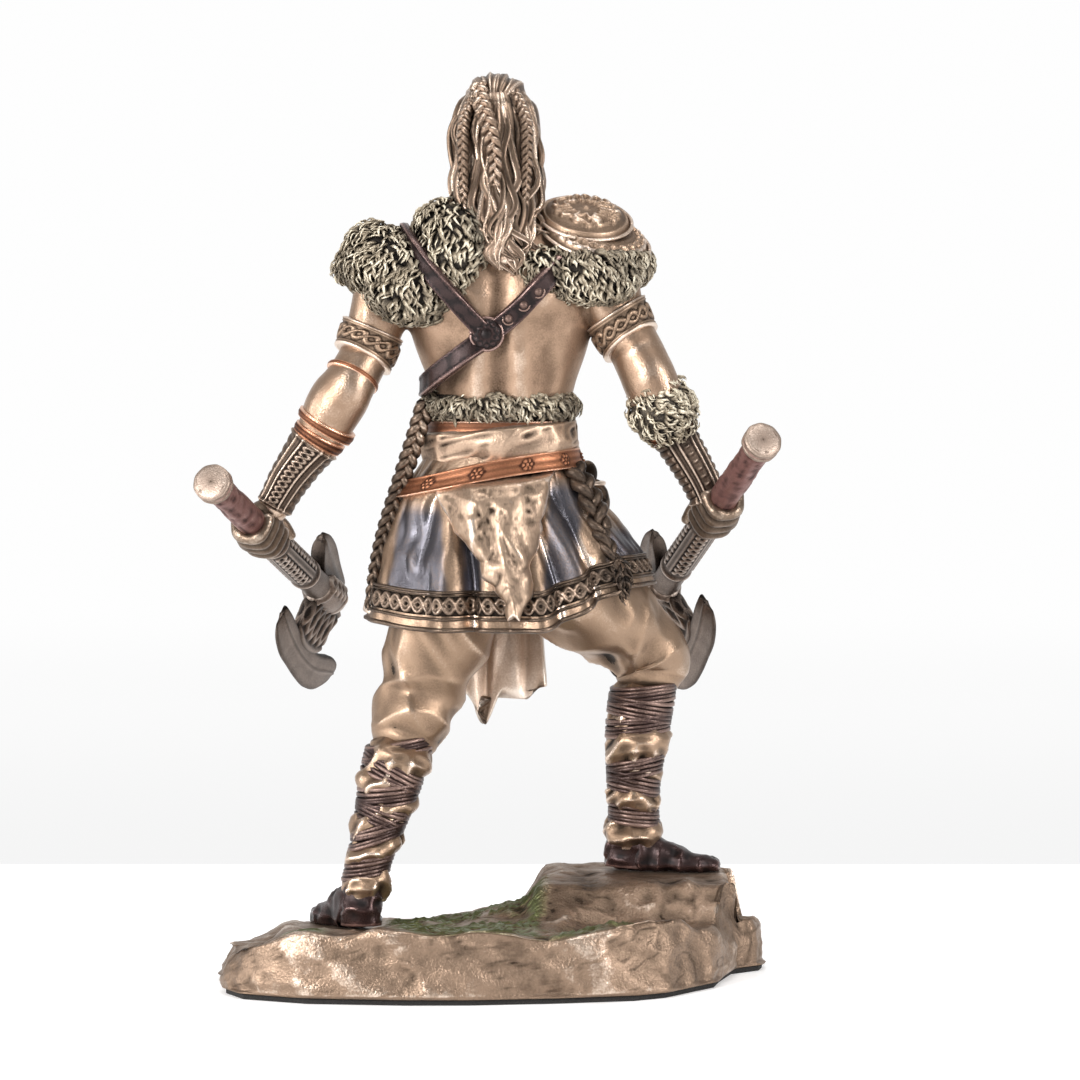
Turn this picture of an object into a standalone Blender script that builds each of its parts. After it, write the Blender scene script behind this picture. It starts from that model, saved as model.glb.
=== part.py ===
"""Viking warrior statue: one resin casting on a rock base, with a felt pad under it.

The figure's numbers are millimetres at its real height, measured from the sole of its left
foot, and they all scale with FIGURE_HEIGHT. The warrior faces +Y, +X is the right of someone
who looks at its back, and +Z is up. The origin is the middle of the underside of the pad.
"""

import math

import bpy
import numpy as np

MM = 0.001

# Driving sizes, in millimetres
FIGURE_HEIGHT = 211.0  # left sole to the top of the hair
FELT_THICKNESS = 1.2
FELT_INSET = 1.2  # the pad's edge lies this far inside the rock's foot
ROCK_THICKNESS = 12.5  # rock under the left foot
STEP_RISE = 9.2  # how much higher the right foot stands
SEAT_GAP = 0.3  # between pieces that touch
BASE_REACH_LEFT = 25.5  # from the left foot's toe to the rock's end
BASE_REACH_RIGHT = 13.0  # from the right foot's toe to the rock's end
BASE_REACH_BACK = 28.5  # from the left heel back to the rock's edge
BASE_REACH_FRONT = 12.5  # from the right heel forward to the rock's edge
HAFT_RADIUS = 3.3
POMMEL_RADIUS = 4.6
BLADE_THICKNESS = 3.6
BLADE_EDGE = 1.5
CLOTH_THICKNESS = 2.4  # hanging cloth, as cast

# How the casting's surface is fused and faceted
FUSE_SIZE = 0.62
FIGURE_TRIANGLES = 8200

DESIGN_HEIGHT = 211.0
UNIT = FIGURE_HEIGHT / DESIGN_HEIGHT
ROCK_FOOT_Z = FELT_THICKNESS + SEAT_GAP
LEFT_SEAT_Z = ROCK_FOOT_Z + ROCK_THICKNESS
LEFT_SOLE_Z = LEFT_SEAT_Z + SEAT_GAP
STEP = STEP_RISE / UNIT

BRONZE = (0.42, 0.30, 0.22)
FELT = (0.03, 0.03, 0.03)

# Where the feet stand. The left one points down a slight slope.
LEFT_HEEL = (-31.0, -19.5, 0.0)
LEFT_TOE = (-44.0, 8.0, -2.2)
RIGHT_HEEL = (28.5, 20.5, STEP)
RIGHT_TOE = (57.5, 17.0, STEP)

# Each axe: the butt of its haft, the middle of its head, which way is outwards, and how many
# degrees its blade leans that way
LEFT_AXE = ((-67.1, -34.0, 110.6), (-44.5, 44.0, 78.5), -1.0, 20.0)
RIGHT_AXE = ((65.8, -32.0, 120.7), (43.2, 44.0, 78.6), 1.0, 28.0)


def unit(v):
    v = np.asarray(v, float)
    return v / np.maximum(np.linalg.norm(v, axis=-1, keepdims=True), 1e-9)


def smooth(t):
    t = np.clip(t, 0.0, 1.0)
    return t * t * (3 - 2 * t)


def spline(rows, count):
    """count rows of numbers on a smooth curve through the given rows, which start x, y, z."""
    rows = np.array(rows, float)
    gaps = np.linalg.norm(np.diff(rows[:, :3], axis=0), axis=1)
    knots = np.concatenate([[0.0], np.cumsum(np.maximum(gaps, 1e-6))])
    slopes = np.gradient(rows, knots, axis=0)
    where = np.linspace(0.0, knots[-1], count)
    index = np.clip(np.searchsorted(knots, where) - 1, 0, len(rows) - 2)
    span = (knots[index + 1] - knots[index])[:, None]
    t = (where - knots[index])[:, None] / span
    return (
        (2 * t**3 - 3 * t**2 + 1) * rows[index]
        + (t**3 - 2 * t**2 + t) * span * slopes[index]
        + (3 * t**2 - 2 * t**3) * rows[index + 1]
        + (t**3 - t**2) * span * slopes[index + 1]
    )


def close_rings(rings):
    """One closed mesh from rings of points, with a fan at each end."""
    count, sides = rings.shape[:2]
    verts = np.concatenate([rings.reshape(-1, 3), [rings[0].mean(0), rings[-1].mean(0)]])
    faces = []
    for i in range(count - 1):
        for j in range(sides):
            k = (j + 1) % sides
            faces.append((i * sides + j, i * sides + k, (i + 1) * sides + k, (i + 1) * sides + j))
    last = (count - 1) * sides
    for j in range(sides):
        k = (j + 1) % sides
        faces.append((k, j, count * sides))
        faces.append((last + j, last + k, count * sides + 1))
    return verts, faces


def loft(stations, rings, sides, aim=(1, 0, 0), dome=0.5, square=1.0, relief=None):
    """A closed body through stations of (x, y, z, a, b): a is the half width along aim, b the
    other one. dome is how far the ends bulge, as a share of a. square under 1 makes the
    section boxier. relief(turn, along, points, outward) returns the moved points."""
    rows = spline(stations, rings)
    centre, a, b = rows[:, :3], rows[:, 3:4], rows[:, 4:5]
    tangent = unit(np.gradient(centre, axis=0))
    aims = np.array(aim, float)
    if aims.ndim == 2:
        places = np.linspace(0, len(aims) - 1, rings)
        aims = np.stack([np.interp(places, range(len(aims)), aims[:, i]) for i in range(3)], 1)
    across = unit(aims - (aims * tangent).sum(1, keepdims=True) * tangent)
    other = np.cross(tangent, across)
    turn = np.linspace(0, 2 * math.pi, sides, endpoint=False)
    c, s = np.cos(turn), np.sin(turn)
    c, s = np.sign(c) * abs(c) ** square, np.sign(s) * abs(s) ** square
    ring = across[:, None] * (a * c)[..., None] + other[:, None] * (b * s)[..., None]
    points = centre[:, None] + ring
    if relief:
        outward = unit(across[:, None] * (b * c)[..., None] + other[:, None] * (a * s)[..., None])
        along = np.linspace(0, 1, rings)[:, None] + 0 * turn
        points = relief(turn + 0 * along, along, points, outward)
    if not dome:
        return close_rings(points)
    ring = points - centre[:, None]
    lift = np.array([0.35, 0.7, 0.95]) * math.pi / 2
    start = [centre[0] - tangent[0] * dome * a[0] * math.sin(d) + ring[0] * math.cos(d) for d in lift]
    finish = [centre[-1] + tangent[-1] * dome * a[-1] * math.sin(d) + ring[-1] * math.cos(d) for d in lift]
    return close_rings(np.concatenate([start[::-1], points, finish]))


def tube(points, radius, rings, sides=8, flat=1.0, aim=(0, 0, 1)):
    """A cord or lock through points. radius is one number, or one for each point."""
    radius = np.broadcast_to(radius, (len(points),))
    rows = [(*p, r, r * flat) for p, r in zip(points, radius, strict=True)]
    return loft(rows, rings, sides, aim)


def turned(x=0.0, y=0.0, z=0.0):
    """The matrix that turns about X, then Y, then Z, in degrees."""
    rx, ry, rz = (math.radians(d) for d in (x, y, z))
    mx = np.array([[1, 0, 0], [0, math.cos(rx), -math.sin(rx)], [0, math.sin(rx), math.cos(rx)]])
    my = np.array([[math.cos(ry), 0, math.sin(ry)], [0, 1, 0], [-math.sin(ry), 0, math.cos(ry)]])
    mz = np.array([[math.cos(rz), -math.sin(rz), 0], [math.sin(rz), math.cos(rz), 0], [0, 0, 1]])
    return mz @ my @ mx


def ball(centre, radii, turn=(0, 0, 0), rings=12, sides=18, bumps=None):
    """An ellipsoid. bumps(way) scales its surface by the way it looks from the middle."""
    lat = np.linspace(0.05, math.pi - 0.05, rings)[:, None]
    lon = np.linspace(0, 2 * math.pi, sides, endpoint=False)[None, :]
    way = np.stack([np.sin(lat) * np.cos(lon), np.sin(lat) * np.sin(lon), np.cos(lat) + 0 * lon], -1)
    size = bumps(way)[..., None] if bumps else 1.0
    return close_rings((way * np.array(radii) * size) @ turned(*turn).T + np.array(centre))


def slab(surface, thickness, rows, columns):
    """A closed sheet of even thickness. surface(s, t) gives its middle, s across, t down."""
    s, t = np.meshgrid(np.linspace(0, 1, columns), np.linspace(0, 1, rows))
    middle = surface(s, t)
    normal = unit(np.cross(np.gradient(middle, axis=1), np.gradient(middle, axis=0)))
    front, back = middle + normal * thickness / 2, middle - normal * thickness / 2
    rings = np.concatenate([front, back[:, ::-1]], axis=1)
    return close_rings(rings)


def waves(way, seed, scale, share):
    """Smooth lumps for a ball's surface, from a few waves in seeded directions."""
    random = np.random.default_rng(seed)
    total = 0.0
    for _ in range(7):
        k = random.normal(size=3) * scale
        total = total + np.sin(way @ k + random.uniform(0, 6.3))
    return 1 + share * total / 2.6


# Body


TORSO = [
    (2, 2, 84, 15, 11), (2, 2, 92, 18.4, 13.4), (1.5, 2, 104, 18, 13.5), (2, 2, 117, 17.4, 12.8),
    (2.1, 2, 126, 17, 12), (2.4, 1.2, 134, 18.4, 12.6), (2.4, 0.6, 144, 21.8, 14),
    (2.2, 0, 152, 23.4, 14.8), (1.8, 0, 160, 23.4, 14.2), (1.4, 0, 166, 21, 12.2),
    (1.2, 0, 172, 15, 9.5), (1, 0.4, 179, 8.6, 8), (0.8, 1.2, 186, 6.8, 7.2), (0.6, 2.5, 193, 6.8, 7.5),
]
LEFT_ARM = [
    (-17, 0, 164, 8, 9), (-24, -0.5, 160.5, 8.6, 9.6), (-28.4, -1.5, 151, 7.2, 8.2),
    (-30.4, -2, 144.7, 6.6, 7.3), (-33.5, -4.5, 137.2, 6.4, 6.9), (-36.2, -6, 132.6, 6.9, 7),
    (-38.5, -6, 129, 7.1, 6.8), (-42, -5, 122.2, 6.3, 6.2), (-47.4, -4.3, 114.5, 5, 5),
    (-50.6, -4.1, 109.7, 4.5, 4.4), (-53.2, -4, 105, 4, 3.8), (-54.8, -4, 102, 3.8, 3.6),
]
RIGHT_ARM = [
    (20, 0, 164, 8, 9), (26.4, -0.5, 160.5, 8.6, 9.6), (30.4, -1.5, 152, 7.3, 8.2),
    (33, -2, 147, 6.6, 7.3), (36.9, -4.5, 139.7, 6.4, 6.9), (39.2, -5.8, 134.7, 6.6, 7),
    (41.3, -5.6, 129.7, 6.5, 6.8), (43.6, -4, 124.7, 5.7, 6), (46.2, -2.5, 119.7, 4.7, 5.2),
    (49.2, -1.4, 114.7, 4.3, 4.8), (52, -0.5, 109.7, 4, 4.2), (54.2, 0, 105, 3.8, 3.8),
]


def back_muscles(turn, along, points, outward):
    """Spine, shoulder blades, lats and chest, as soft rises on the torso."""
    x, y, z = points[..., 0], points[..., 1], points[..., 2]
    behind, before = smooth(-y / 6), smooth(y / 6)
    side = abs(x - 1.8)
    spine = -1.5 * np.exp(-((side / 2.4) ** 2)) * smooth((z - 118) / 14) * smooth((172 - z) / 10)
    blade = 1.5 * np.exp(-(((side - 11) / 6) ** 2) - ((z - 157) / 8) ** 2)
    under = -0.9 * np.exp(-(((side - 12) / 6) ** 2) - ((z - 146.5) / 3) ** 2)
    loin = 1.1 * np.exp(-(((side - 6) / 3.6) ** 2) - ((z - 133) / 12) ** 2)
    chest = 1.9 * np.exp(-(((side - 10) / 8) ** 2) - ((z - 157) / 7) ** 2)
    plates = abs(np.sin((z - 118) / 8.5 * math.pi)) * smooth((150 - z) / 6)
    belly = 0.9 * np.exp(-(((side - 4.6) / 3) ** 2)) * plates
    rise = behind * (spine + blade + under + loin) + before * (chest + belly)
    return points + outward * rise[..., None]


def arm_muscles(turn, along, points, outward):
    rise = 0.5 * np.sin(2 * turn + 0.6) * np.exp(-(((along - 0.45) / 0.18) ** 2))
    return points + outward * rise[..., None]


def skin():
    yield loft(TORSO, 40, 36, relief=back_muscles)
    for arm in (LEFT_ARM, RIGHT_ARM):
        yield loft(arm, 30, 18, aim=(0.8, 0, 0.6), relief=arm_muscles)
    yield ball((0.6, 4.2, 195.5), (8.6, 10.2, 12.4), rings=20, sides=24)


def face():
    """Brow, nose, cheeks and a full beard, on ordinary proportions."""
    middle = 0.6
    brow = [(middle - 6, 11.6, 198.2), (middle, 13.7, 198.9), (middle + 6, 11.6, 198.2)]
    yield tube(brow, (1, 1.5, 1), 9)
    yield tube([(middle, 13.2, 198.5), (middle, 15, 194.6), (middle, 15.6, 192.4)], (1, 1.4, 1.7), 8)
    for side in (-1, 1):
        yield ball((middle + 4.6 * side, 11.4, 192.8), (2.6, 2.2, 2.2))
        moustache = [
            (middle, 14.4, 189.9), (middle + 3.4 * side, 13.6, 188.6), (middle + 5 * side, 12, 184.6),
        ]
        yield tube(moustache, (1.1, 1.3, 0.6), 9)
    beard = [
        (middle, 8.6, 190.5, 8.2, 4.6), (middle, 10.5, 185.5, 7.4, 5), (middle, 12.4, 179.5, 5, 4.2),
        (middle, 13.6, 173.5, 2.4, 2.2),
    ]

    def strands(turn, along, points, outward):
        return points + outward * (0.5 * np.sin(9 * turn))[..., None]

    yield loft(beard, 16, 20, relief=strands)


def hair_lock_paths():
    """Guide curves of the long hair, from the crown over the back of the head to their tips."""
    count = 17
    for k in range(count):
        f = (k / (count - 1)) * 2 - 1
        reach = 0.9 + 0.1 * math.cos(5.1 * k)
        tip_z = 158.5 + 9 * abs(f) ** 1.3 + 4.2 * math.sin(2.7 * k)
        sway = 1.3 * math.sin(1.9 * k + 0.6)
        x = 0.9 + 10.9 * math.sin(f * 1.5) * reach
        back = -9.2 * math.cos(f * 1.45)
        yield [
            (0.4 + 3.0 * f, 2.5 - 1.5 * math.cos(f * 1.4), 208.2 - 1.4 * f * f),
            (0.7 + 8.6 * f, 0.5 + back * 0.72, 203 - 1.6 * f * f),
            (x, 3.6 + back * 1.14, 194.6),
            (x * 1.02 + 0.2, 2.6 + back * 1.2, 186),
            (x * 0.95 + sway + 0.5, 0.4 + back * 1.26, 178),
            (x * 0.72 - sway * 0.6 + 1.6, -3.2 + back * 1.2, (178 + tip_z) / 2 - 1),
            (x * 0.52 + sway * 0.4 + 3.0, -4.6 + back * 1.16, tip_z),
        ]


def hair():
    """The mass of hair, then the locks that lie on it, then the braids."""
    mass = [
        (0.9, 4.2, 208, 5.8, 7.2), (0.9, 3.4, 203.8, 8.4, 10.2), (0.9, 2.2, 198, 9.4, 10.6),
        (0.9, 0.4, 190, 10.2, 9.2), (1, -2, 183, 10.2, 7.4), (1.2, -6, 176.5, 9, 5.2),
        (2.2, -10, 170, 6.8, 3.8), (3.6, -13, 164.5, 4, 2.4),
    ]
    yield loft(mass, 26, 26, dome=0.4)
    for path in hair_lock_paths():
        yield tube(path, (0.7, 1.5, 1.7, 1.7, 1.6, 1.3, 0.4), 18, 7, flat=0.8)
    for side, drop in ((-1, 180), (1, 181)):
        path = [
            (0.9 + side * 7.2, 1, 202.6), (0.9 + side * 9.8, 0.4, 196.4),
            (0.9 + side * 10.3, -1.6, 189), (0.9 + side * 9.6, -3.4, drop),
        ]
        yield from braid(path, 1.7, 3)
    yield from braid([(-1.2, -6.0, 204.4), (0, -9.4, 197), (0.8, -10.8, 189), (0.4, -12.4, 179)], 1.9, 3)
    # The hair that is combed back over the crown
    for k in range(5):
        x = -4.4 + 2.6 * k
        lift = 0.45 * (k - 1.6) ** 2
        path = [
            (x, 9.5, 205.6 - lift), (x * 1.1, 4.2, 209.2 - lift),
            (x * 1.1, -2.6, 206.4 - lift), (x * 0.5 - 0.6, -6.4, 202.6),
        ]
        yield tube(path, (1.2, 1.8, 1.8, 1), 10, 7)


def braid(path, width, crossings):
    """A plait: strands that swing from side to side round a path, a third of a turn apart."""
    points = spline(path, 14)
    tangent = unit(np.gradient(points, axis=0))
    across = unit(np.cross(tangent, unit(points - np.array([1.0, 4.0, 190.0]))))
    outward = np.cross(across, tangent)
    for k in range(3):
        phase = np.linspace(0, crossings * 2 * math.pi, 14) + k * 2 * math.pi / 3
        strand = points + across * (0.75 * width * np.sin(phase))[:, None] + outward * (
            0.35 * width * np.cos(2 * phase))[:, None]
        yield tube(strand, 0.62 * width, 24, 6)


# Clothes above the belt


FUR = [
    # centre, radii, turn: left shoulder with its knob, fringe and tip, back of the neck
    ((-24, -1, 163), (13.6, 14.6, 8.8), (0, 6, 0)),
    ((-29, -4.5, 167.6), (6.4, 7, 5.6), (0, -14, 30)),
    ((-34.6, -3, 162.6), (3.6, 4.5, 3), (0, -10, 0)),
    ((-19.5, -9.6, 157.4), (11.5, 6.6, 8), (0, 8, 0)),
    ((-10, -10.6, 164.6), (8.4, 6, 13), (0, 16, 0)),
    ((-11.6, -6, 172.6), (7.4, 6.6, 6), (0, -20, 0)),
    ((-18, 9.5, 160.5), (12, 6.4, 8.6), (0, 0, 0)),
    # right shoulder, its fringe, and the back
    ((25, -0.5, 163), (14.2, 15, 7.8), (0, -4, 0)),
    ((24, -9.6, 160.6), (11.5, 7.4, 6.6), (0, 2, 0)),
    ((12, -10, 166.4), (6.4, 6, 8.6), (0, -14, 0)),
    ((19.5, 9.5, 160.5), (12, 6.4, 8.6), (0, 0, 0)),
]


def fur_lumps(amount, scale):
    def relief(turn, along, points, outward):
        rows = np.sin(9 * turn + 31 * along * scale)
        tufts = np.sin(points[..., 2] * 1.3 * scale + points[..., 0])
        return points + outward * (amount * (rows + tufts))[..., None]
    return relief


def fur_mantle():
    for k, (centre, radii, turn) in enumerate(FUR):
        yield ball(centre, radii, turn, 22, 30, bumps=lambda way, k=k: waves(way, k, 7, 0.045))


PAULDRON = [
    ((25.2, -1.4, 171.6), (13.8, 13.4, 3.6), (20, 14, 0)),
    ((23.4, -1.2, 175.4), (11.4, 11.6, 3.4), (20, 8, 0)),
]


def pauldron():
    """Two stiff plates lapped over the right shoulder."""
    for centre, radii, turn in PAULDRON:
        yield ball(centre, radii, turn, rings=16, sides=30)
        a = np.linspace(0, 2 * math.pi, 26)
        rim = np.column_stack([radii[0] * np.cos(a), radii[1] * np.sin(a), np.full(26, -0.3)])
        yield tube(rim @ turned(*turn).T + np.array(centre), 0.75, 52, 6)


def strap(path, width, rings=26):
    """A flat strap along a path that lies on the body."""
    rows = [(*p, width, 1.1) for p in path]
    path = np.array(path, float)
    out = unit((path - np.array([1.8, 0, 0])) * np.array([1, 1, 0]))
    ways = unit(np.gradient(path, axis=0))
    return loft(rows, rings, 10, aim=np.cross(ways, out), square=0.5)


STRAP_LEFT = [
    (-21, 6, 168.6), (-21.8, -5, 171.4), (-19.4, -12.6, 167.6), (-14.2, -16.6, 160.6),
    (-8, -17.2, 153.4), (-3, -16.2, 148), (-0.8, -15.2, 145.6),
]
STRAP_RIGHT = [
    (20, -16.6, 162), (13.5, -16.8, 158), (6, -15.6, 151.4), (0, -14.6, 146.4), (-7.4, -15, 141),
    (-13.4, -12.2, 136.4), (-16.6, -6, 133.6), (-16.8, 2, 133), (-13.4, 10, 134.4),
    (-6, 14.4, 139.6), (4, 15.9, 147), (14, 15.8, 156),
]


def straps():
    yield strap(STRAP_LEFT, 2.3)
    yield strap(STRAP_RIGHT, 2.6, 40)
    yield ball((-1.1, -14.9, 146.2), (3.7, 1.9, 3.7))
    for x, z in ((12.4, 157.1), (8.2, 153.5), (4.2, 149.7)):
        yield ball((x, -17.7 + (12.4 - x) * 0.17, z), (0.95, 0.8, 0.95), rings=6, sides=8)


def ring_band(limb, middle, half, height, rings=5, sides=22, aim=(0.8, 0, 0.6)):
    """A band that stands proud of a limb, from half above to half below a height."""
    rows = spline(limb, 201)
    heights = np.linspace(middle + half, middle - half, rings)
    chosen = rows[[int(np.argmin(abs(rows[:, 2] - z))) for z in heights]].copy()
    chosen[:, 3:] += height * (0.55 + 0.45 * np.sin(np.linspace(0, math.pi, rings)))[:, None]
    return loft(chosen, rings, sides, aim, dome=0)


def arm_gear():
    """Arm rings, the fur cuff and the long bracers."""
    yield ring_band(LEFT_ARM, 143.6, 3.4, 0.9)
    yield ring_band(RIGHT_ARM, 147.4, 3.4, 0.9)
    yield ring_band(LEFT_ARM, 123.4, 1.2, 1.0)
    yield ring_band(LEFT_ARM, 120.4, 1.2, 0.9)
    yield ring_band(LEFT_ARM, 111.6, 8.2, 0.9, rings=9)
    yield ring_band(RIGHT_ARM, 114.6, 8.6, 0.9, rings=9)
    cuff = [
        (41, -5.4, 131.6, 7, 7.6), (42, -5, 128.4, 8.4, 9), (43, -4.4, 125.6, 8.2, 8.6),
        (44.2, -3.6, 122.6, 6.4, 7),
    ]
    yield loft(cuff, 12, 26, aim=(0.8, 0, 0.6), relief=fur_lumps(0.35, 1.3))


# Hands and axes


def axe_frame(axe):
    """Butt, head, and the directions along the haft, towards the blade, and across."""
    butt, middle, out, lean = np.array(axe[0]), np.array(axe[1]), axe[2], axe[3]
    way = unit(middle - butt)
    up = unit(np.array([0, 0, 1.0]) - way[2] * way)
    across = np.cross(way, up)
    outward = across if across[0] * out > 0 else -across
    roll = math.radians(lean)
    return butt, middle, way, unit(-up * math.cos(roll) + outward * math.sin(roll)), outward


def blade_sheet(axe, rows, thickness):
    """A flat body in the blade's plane. rows are (along the haft, near edge, far edge, half
    thickness at the near edge, half thickness at the far edge)."""
    _, middle, way, down, _ = axe_frame(axe)
    across = np.cross(way, down)
    table = np.array(rows, float)
    where = np.linspace(0, len(table) - 1, 3 * len(table))
    table = np.stack([np.interp(where, range(len(table)), table[:, i]) for i in range(5)], 1)
    rings = []
    for along, near, far, thick, thin in table:
        ring = []
        for depth, half in ((near, thick), (near * 0.5 + far * 0.5, (thick + thin) / 2), (far, thin)):
            ring.append(middle + way * along + down * depth + across * half * thickness)
        for depth, half in ((far, thin), (near * 0.5 + far * 0.5, (thick + thin) / 2), (near, thick)):
            ring.append(middle + way * along + down * depth - across * half * thickness)
        rings.append(ring)
    return close_rings(np.array(rings))


def axe(axe_ends):
    butt, middle, way, down, _ = axe_frame(axe_ends)
    length = np.linalg.norm(middle - butt)
    r, p = HAFT_RADIUS / UNIT, POMMEL_RADIUS / UNIT
    profile = np.array([
        (0, p), (3, p), (3.4, r), (13, r), (13.6, r + 0.9), (16, r + 0.9), (16.6, r + 0.5),
        (38, r + 0.5), (39, r + 0.9), (45, r + 0.9), (45.6, r), (length - 9, r), (length - 8.6, r + 1),
        (length + 7, r + 1),
    ])
    a = np.linspace(0, 2 * math.pi, 14, endpoint=False)[:, None]
    circle = down * np.cos(a) + np.cross(way, down) * np.sin(a)
    yield close_rings(butt + way * profile[:, None, :1] + circle * profile[:, None, 1:])
    thick, edge = BLADE_THICKNESS / 2 / UNIT, BLADE_EDGE / 2 / UNIT
    crescent = [
        (-17.8, 10, 15.6), (-14.6, 10.6, 18), (-8.5, 12, 20.6), (0, 13.8, 22), (8, 14.2, 23),
        (15, 13.4, 23.2), (21, 12, 21.8), (25.6, 12.6, 18.6), (27.6, 14.4, 16.6),
    ]
    yield blade_sheet(axe_ends, [(a, n, f, thick * 0.8, edge) for a, n, f in crescent], 1.0)
    neck = [(-6, 2, 13), (-3, 1, 15), (3, 1, 16), (9, 1, 15), (12, 2, 13)]
    yield blade_sheet(axe_ends, [(a, n, f, thick * 1.25, thick * 0.8) for a, n, f in neck], 1.0)
    horn = [(-17, -11.6, -9.2), (-13.6, -12.2, -5.4), (-8, -11.6, -2), (0, -8.6, -1), (9, -5.6, -1)]
    yield blade_sheet(axe_ends, [(a, n, f, edge * 1.3, thick * 1.2) for a, n, f in horn], 1.0)


def fist(axe_ends, wrist, share):
    """A hand closed round the haft at a share of its length: palm, four fingers and a thumb."""
    butt, middle, way, _, outward = axe_frame(axe_ends)
    grip = butt + (middle - butt) * share
    up = np.cross(outward, way)
    up = up if up[2] > 0 else -up
    wrist = np.array(wrist)
    knuckles = grip + outward * 3.0 - up * 1.0 + way * 2
    back = (wrist + knuckles) / 2 + outward * 0.2 + up * 1.4
    finish = knuckles - up * 2.4
    palm = [(*wrist, 4.4, 3.8), (*back, 4.8, 3.4), (*knuckles, 4.9, 2.8), (*finish, 4.4, 2.2)]
    yield loft(palm, 14, 14, aim=way)
    a = np.radians(np.linspace(28, -196, 9))[:, None]
    curl = outward * np.cos(a) * 4.2 + up * np.sin(a) * 4.6
    for k, size in enumerate((1.75, 1.8, 1.75, 1.55)):
        yield tube(grip + way * (6.6 - 3.5 * k) + curl, size, 14, 8)
    a = np.radians(np.linspace(60, 160, 4))[:, None]
    thumb = grip + outward * np.cos(a) * 4.8 + up * np.sin(a) * 5 + way * np.array([[4], [7], [10], [13]])
    yield tube(thumb, (2, 1.9, 1.7, 1.4), 10, 8)


def hands_and_axes():
    yield from fist(LEFT_AXE, LEFT_ARM[-1][:3], 0.385)
    yield from fist(RIGHT_AXE, RIGHT_ARM[-1][:3], 0.41)
    yield from axe(LEFT_AXE)
    yield from axe(RIGHT_AXE)


# Belts, kilt and hanging cloth


def kilt_hem(sine):
    """Height of the kilt's hem: it rises over the raised right thigh."""
    return 73.2 + 10.6 * smooth((sine * 36 - 6) / 26) + 1.6 * smooth((-sine - 0.6) / 0.4)


# Each fold: degrees from the middle of the back towards +X, its half width in degrees, its height
KILT_FOLDS = [
    (-68, 9, 1.0), (-52, 11, 0.6), (-26, 6, 2.0), (-17, 4, -2.0), (14, 5, 1.4), (22, 3.5, -0.9),
    (31, 5, 1.5), (39, 4, -0.9), (46, 5, 1.3), (62, 8, 0.9), (84, 9, 0.8), (110, 9, 1.6),
    (128, 7, -1.4), (146, 9, 1.6), (214, 9, 1.6), (232, 7, -1.4), (250, 9, 1.6), (270, 9, 0.8),
]


def kilt_point(angle, down, outset=0.0):
    """A point of the kilt: angle from the middle of the back towards +X, down from 0 to 1."""
    sine, cosine = np.sin(angle), np.cos(angle)
    a = np.interp(down, (0, 0.15, 0.3, 0.52, 0.75, 1), (17.6, 20.4, 24, 28.6, 33, 35.6)) + outset
    b = np.interp(down, (0, 0.15, 0.3, 0.52, 0.75, 1), (13, 15.2, 17.4, 20, 22.2, 24)) + outset
    cx = np.interp(down, (0, 0.3, 0.52, 0.75, 1), (2, 0.2, 2.1, 3.9, 4.6))
    rise = 0
    for degrees, width, height in KILT_FOLDS:
        gap = (np.degrees(angle) - degrees + 180) % 360 - 180
        rise = rise + height * np.exp(-((gap / width) ** 2))
    rise = rise * smooth((down - 0.08) / 0.75)
    z = 118 + (kilt_hem(sine) - 118) * down
    return np.stack([cx + (a + rise) * sine, 2 - (b + rise) * cosine, z + 0 * angle], -1)


def kilt():
    angle = np.linspace(0, 2 * math.pi, 88, endpoint=False)[None, :]
    down = np.linspace(0, 1, 15)[:, None]
    outer = kilt_point(angle + 0 * down, down + 0 * angle)
    under = [kilt_point(angle, np.array([[1.0]]), -d)[0] + np.array([0, 0, up])
             for d, up in ((CLOTH_THICKNESS / UNIT, 0.0), (CLOTH_THICKNESS / UNIT + 1, 4.0), (14, 5.0))]
    yield close_rings(np.concatenate([outer, np.array(under)]))
    for share, size in ((0.975, 0.9), (0.915, 0.5), (0.845, 0.5)):
        turn = np.linspace(0, 2 * math.pi, 90)
        yield tube(kilt_point(turn, np.full(90, share), 0.1), size, 150, 6)


def belt(middle_z, slope, a, b, half, proud, sides=48):
    """A belt round the waist: its height changes across the back by slope."""
    rows = []
    for k, share in ((-1, 0.4), (-0.8, 1), (0.8, 1), (1, 0.4)):
        rows.append((2, 2, middle_z + half * k, a + proud * share, b + proud * share))

    def tilt(turn, along, points, outward):
        points = points.copy()
        points[..., 2] += slope * (points[..., 0] - 2)
        return points

    return loft(rows, 8, sides, dome=0, relief=tilt)


def waist():
    """The fur edge, the upper belt, the wound sash and the slanting lower belt."""
    fur = [
        (1.8, 1.6, 124.8, 17.2, 12.4), (1.8, 1.6, 126.4, 19.2, 14.2), (1.8, 1.6, 129, 19.8, 14.6),
        (1.8, 1.6, 131.4, 18, 12.8),
    ]
    yield loft(fur, 10, 48, dome=0, relief=fur_lumps(0.3, 1.5))
    yield belt(122.6, 0.0, 17.4, 12.9, 1.8, 1.0)
    yield belt(119, 0.03, 17.6, 13.2, 2.4, 1.1)
    yield belt(115, 0.08, 18.2, 13.8, 2.4, 1.4)
    yield belt(110.6, 0.15, 19.6, 14.8, 2.3, 1.9)
    yield ball((2, 16.6, 122.6), (4.2, 2, 3.4))


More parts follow.
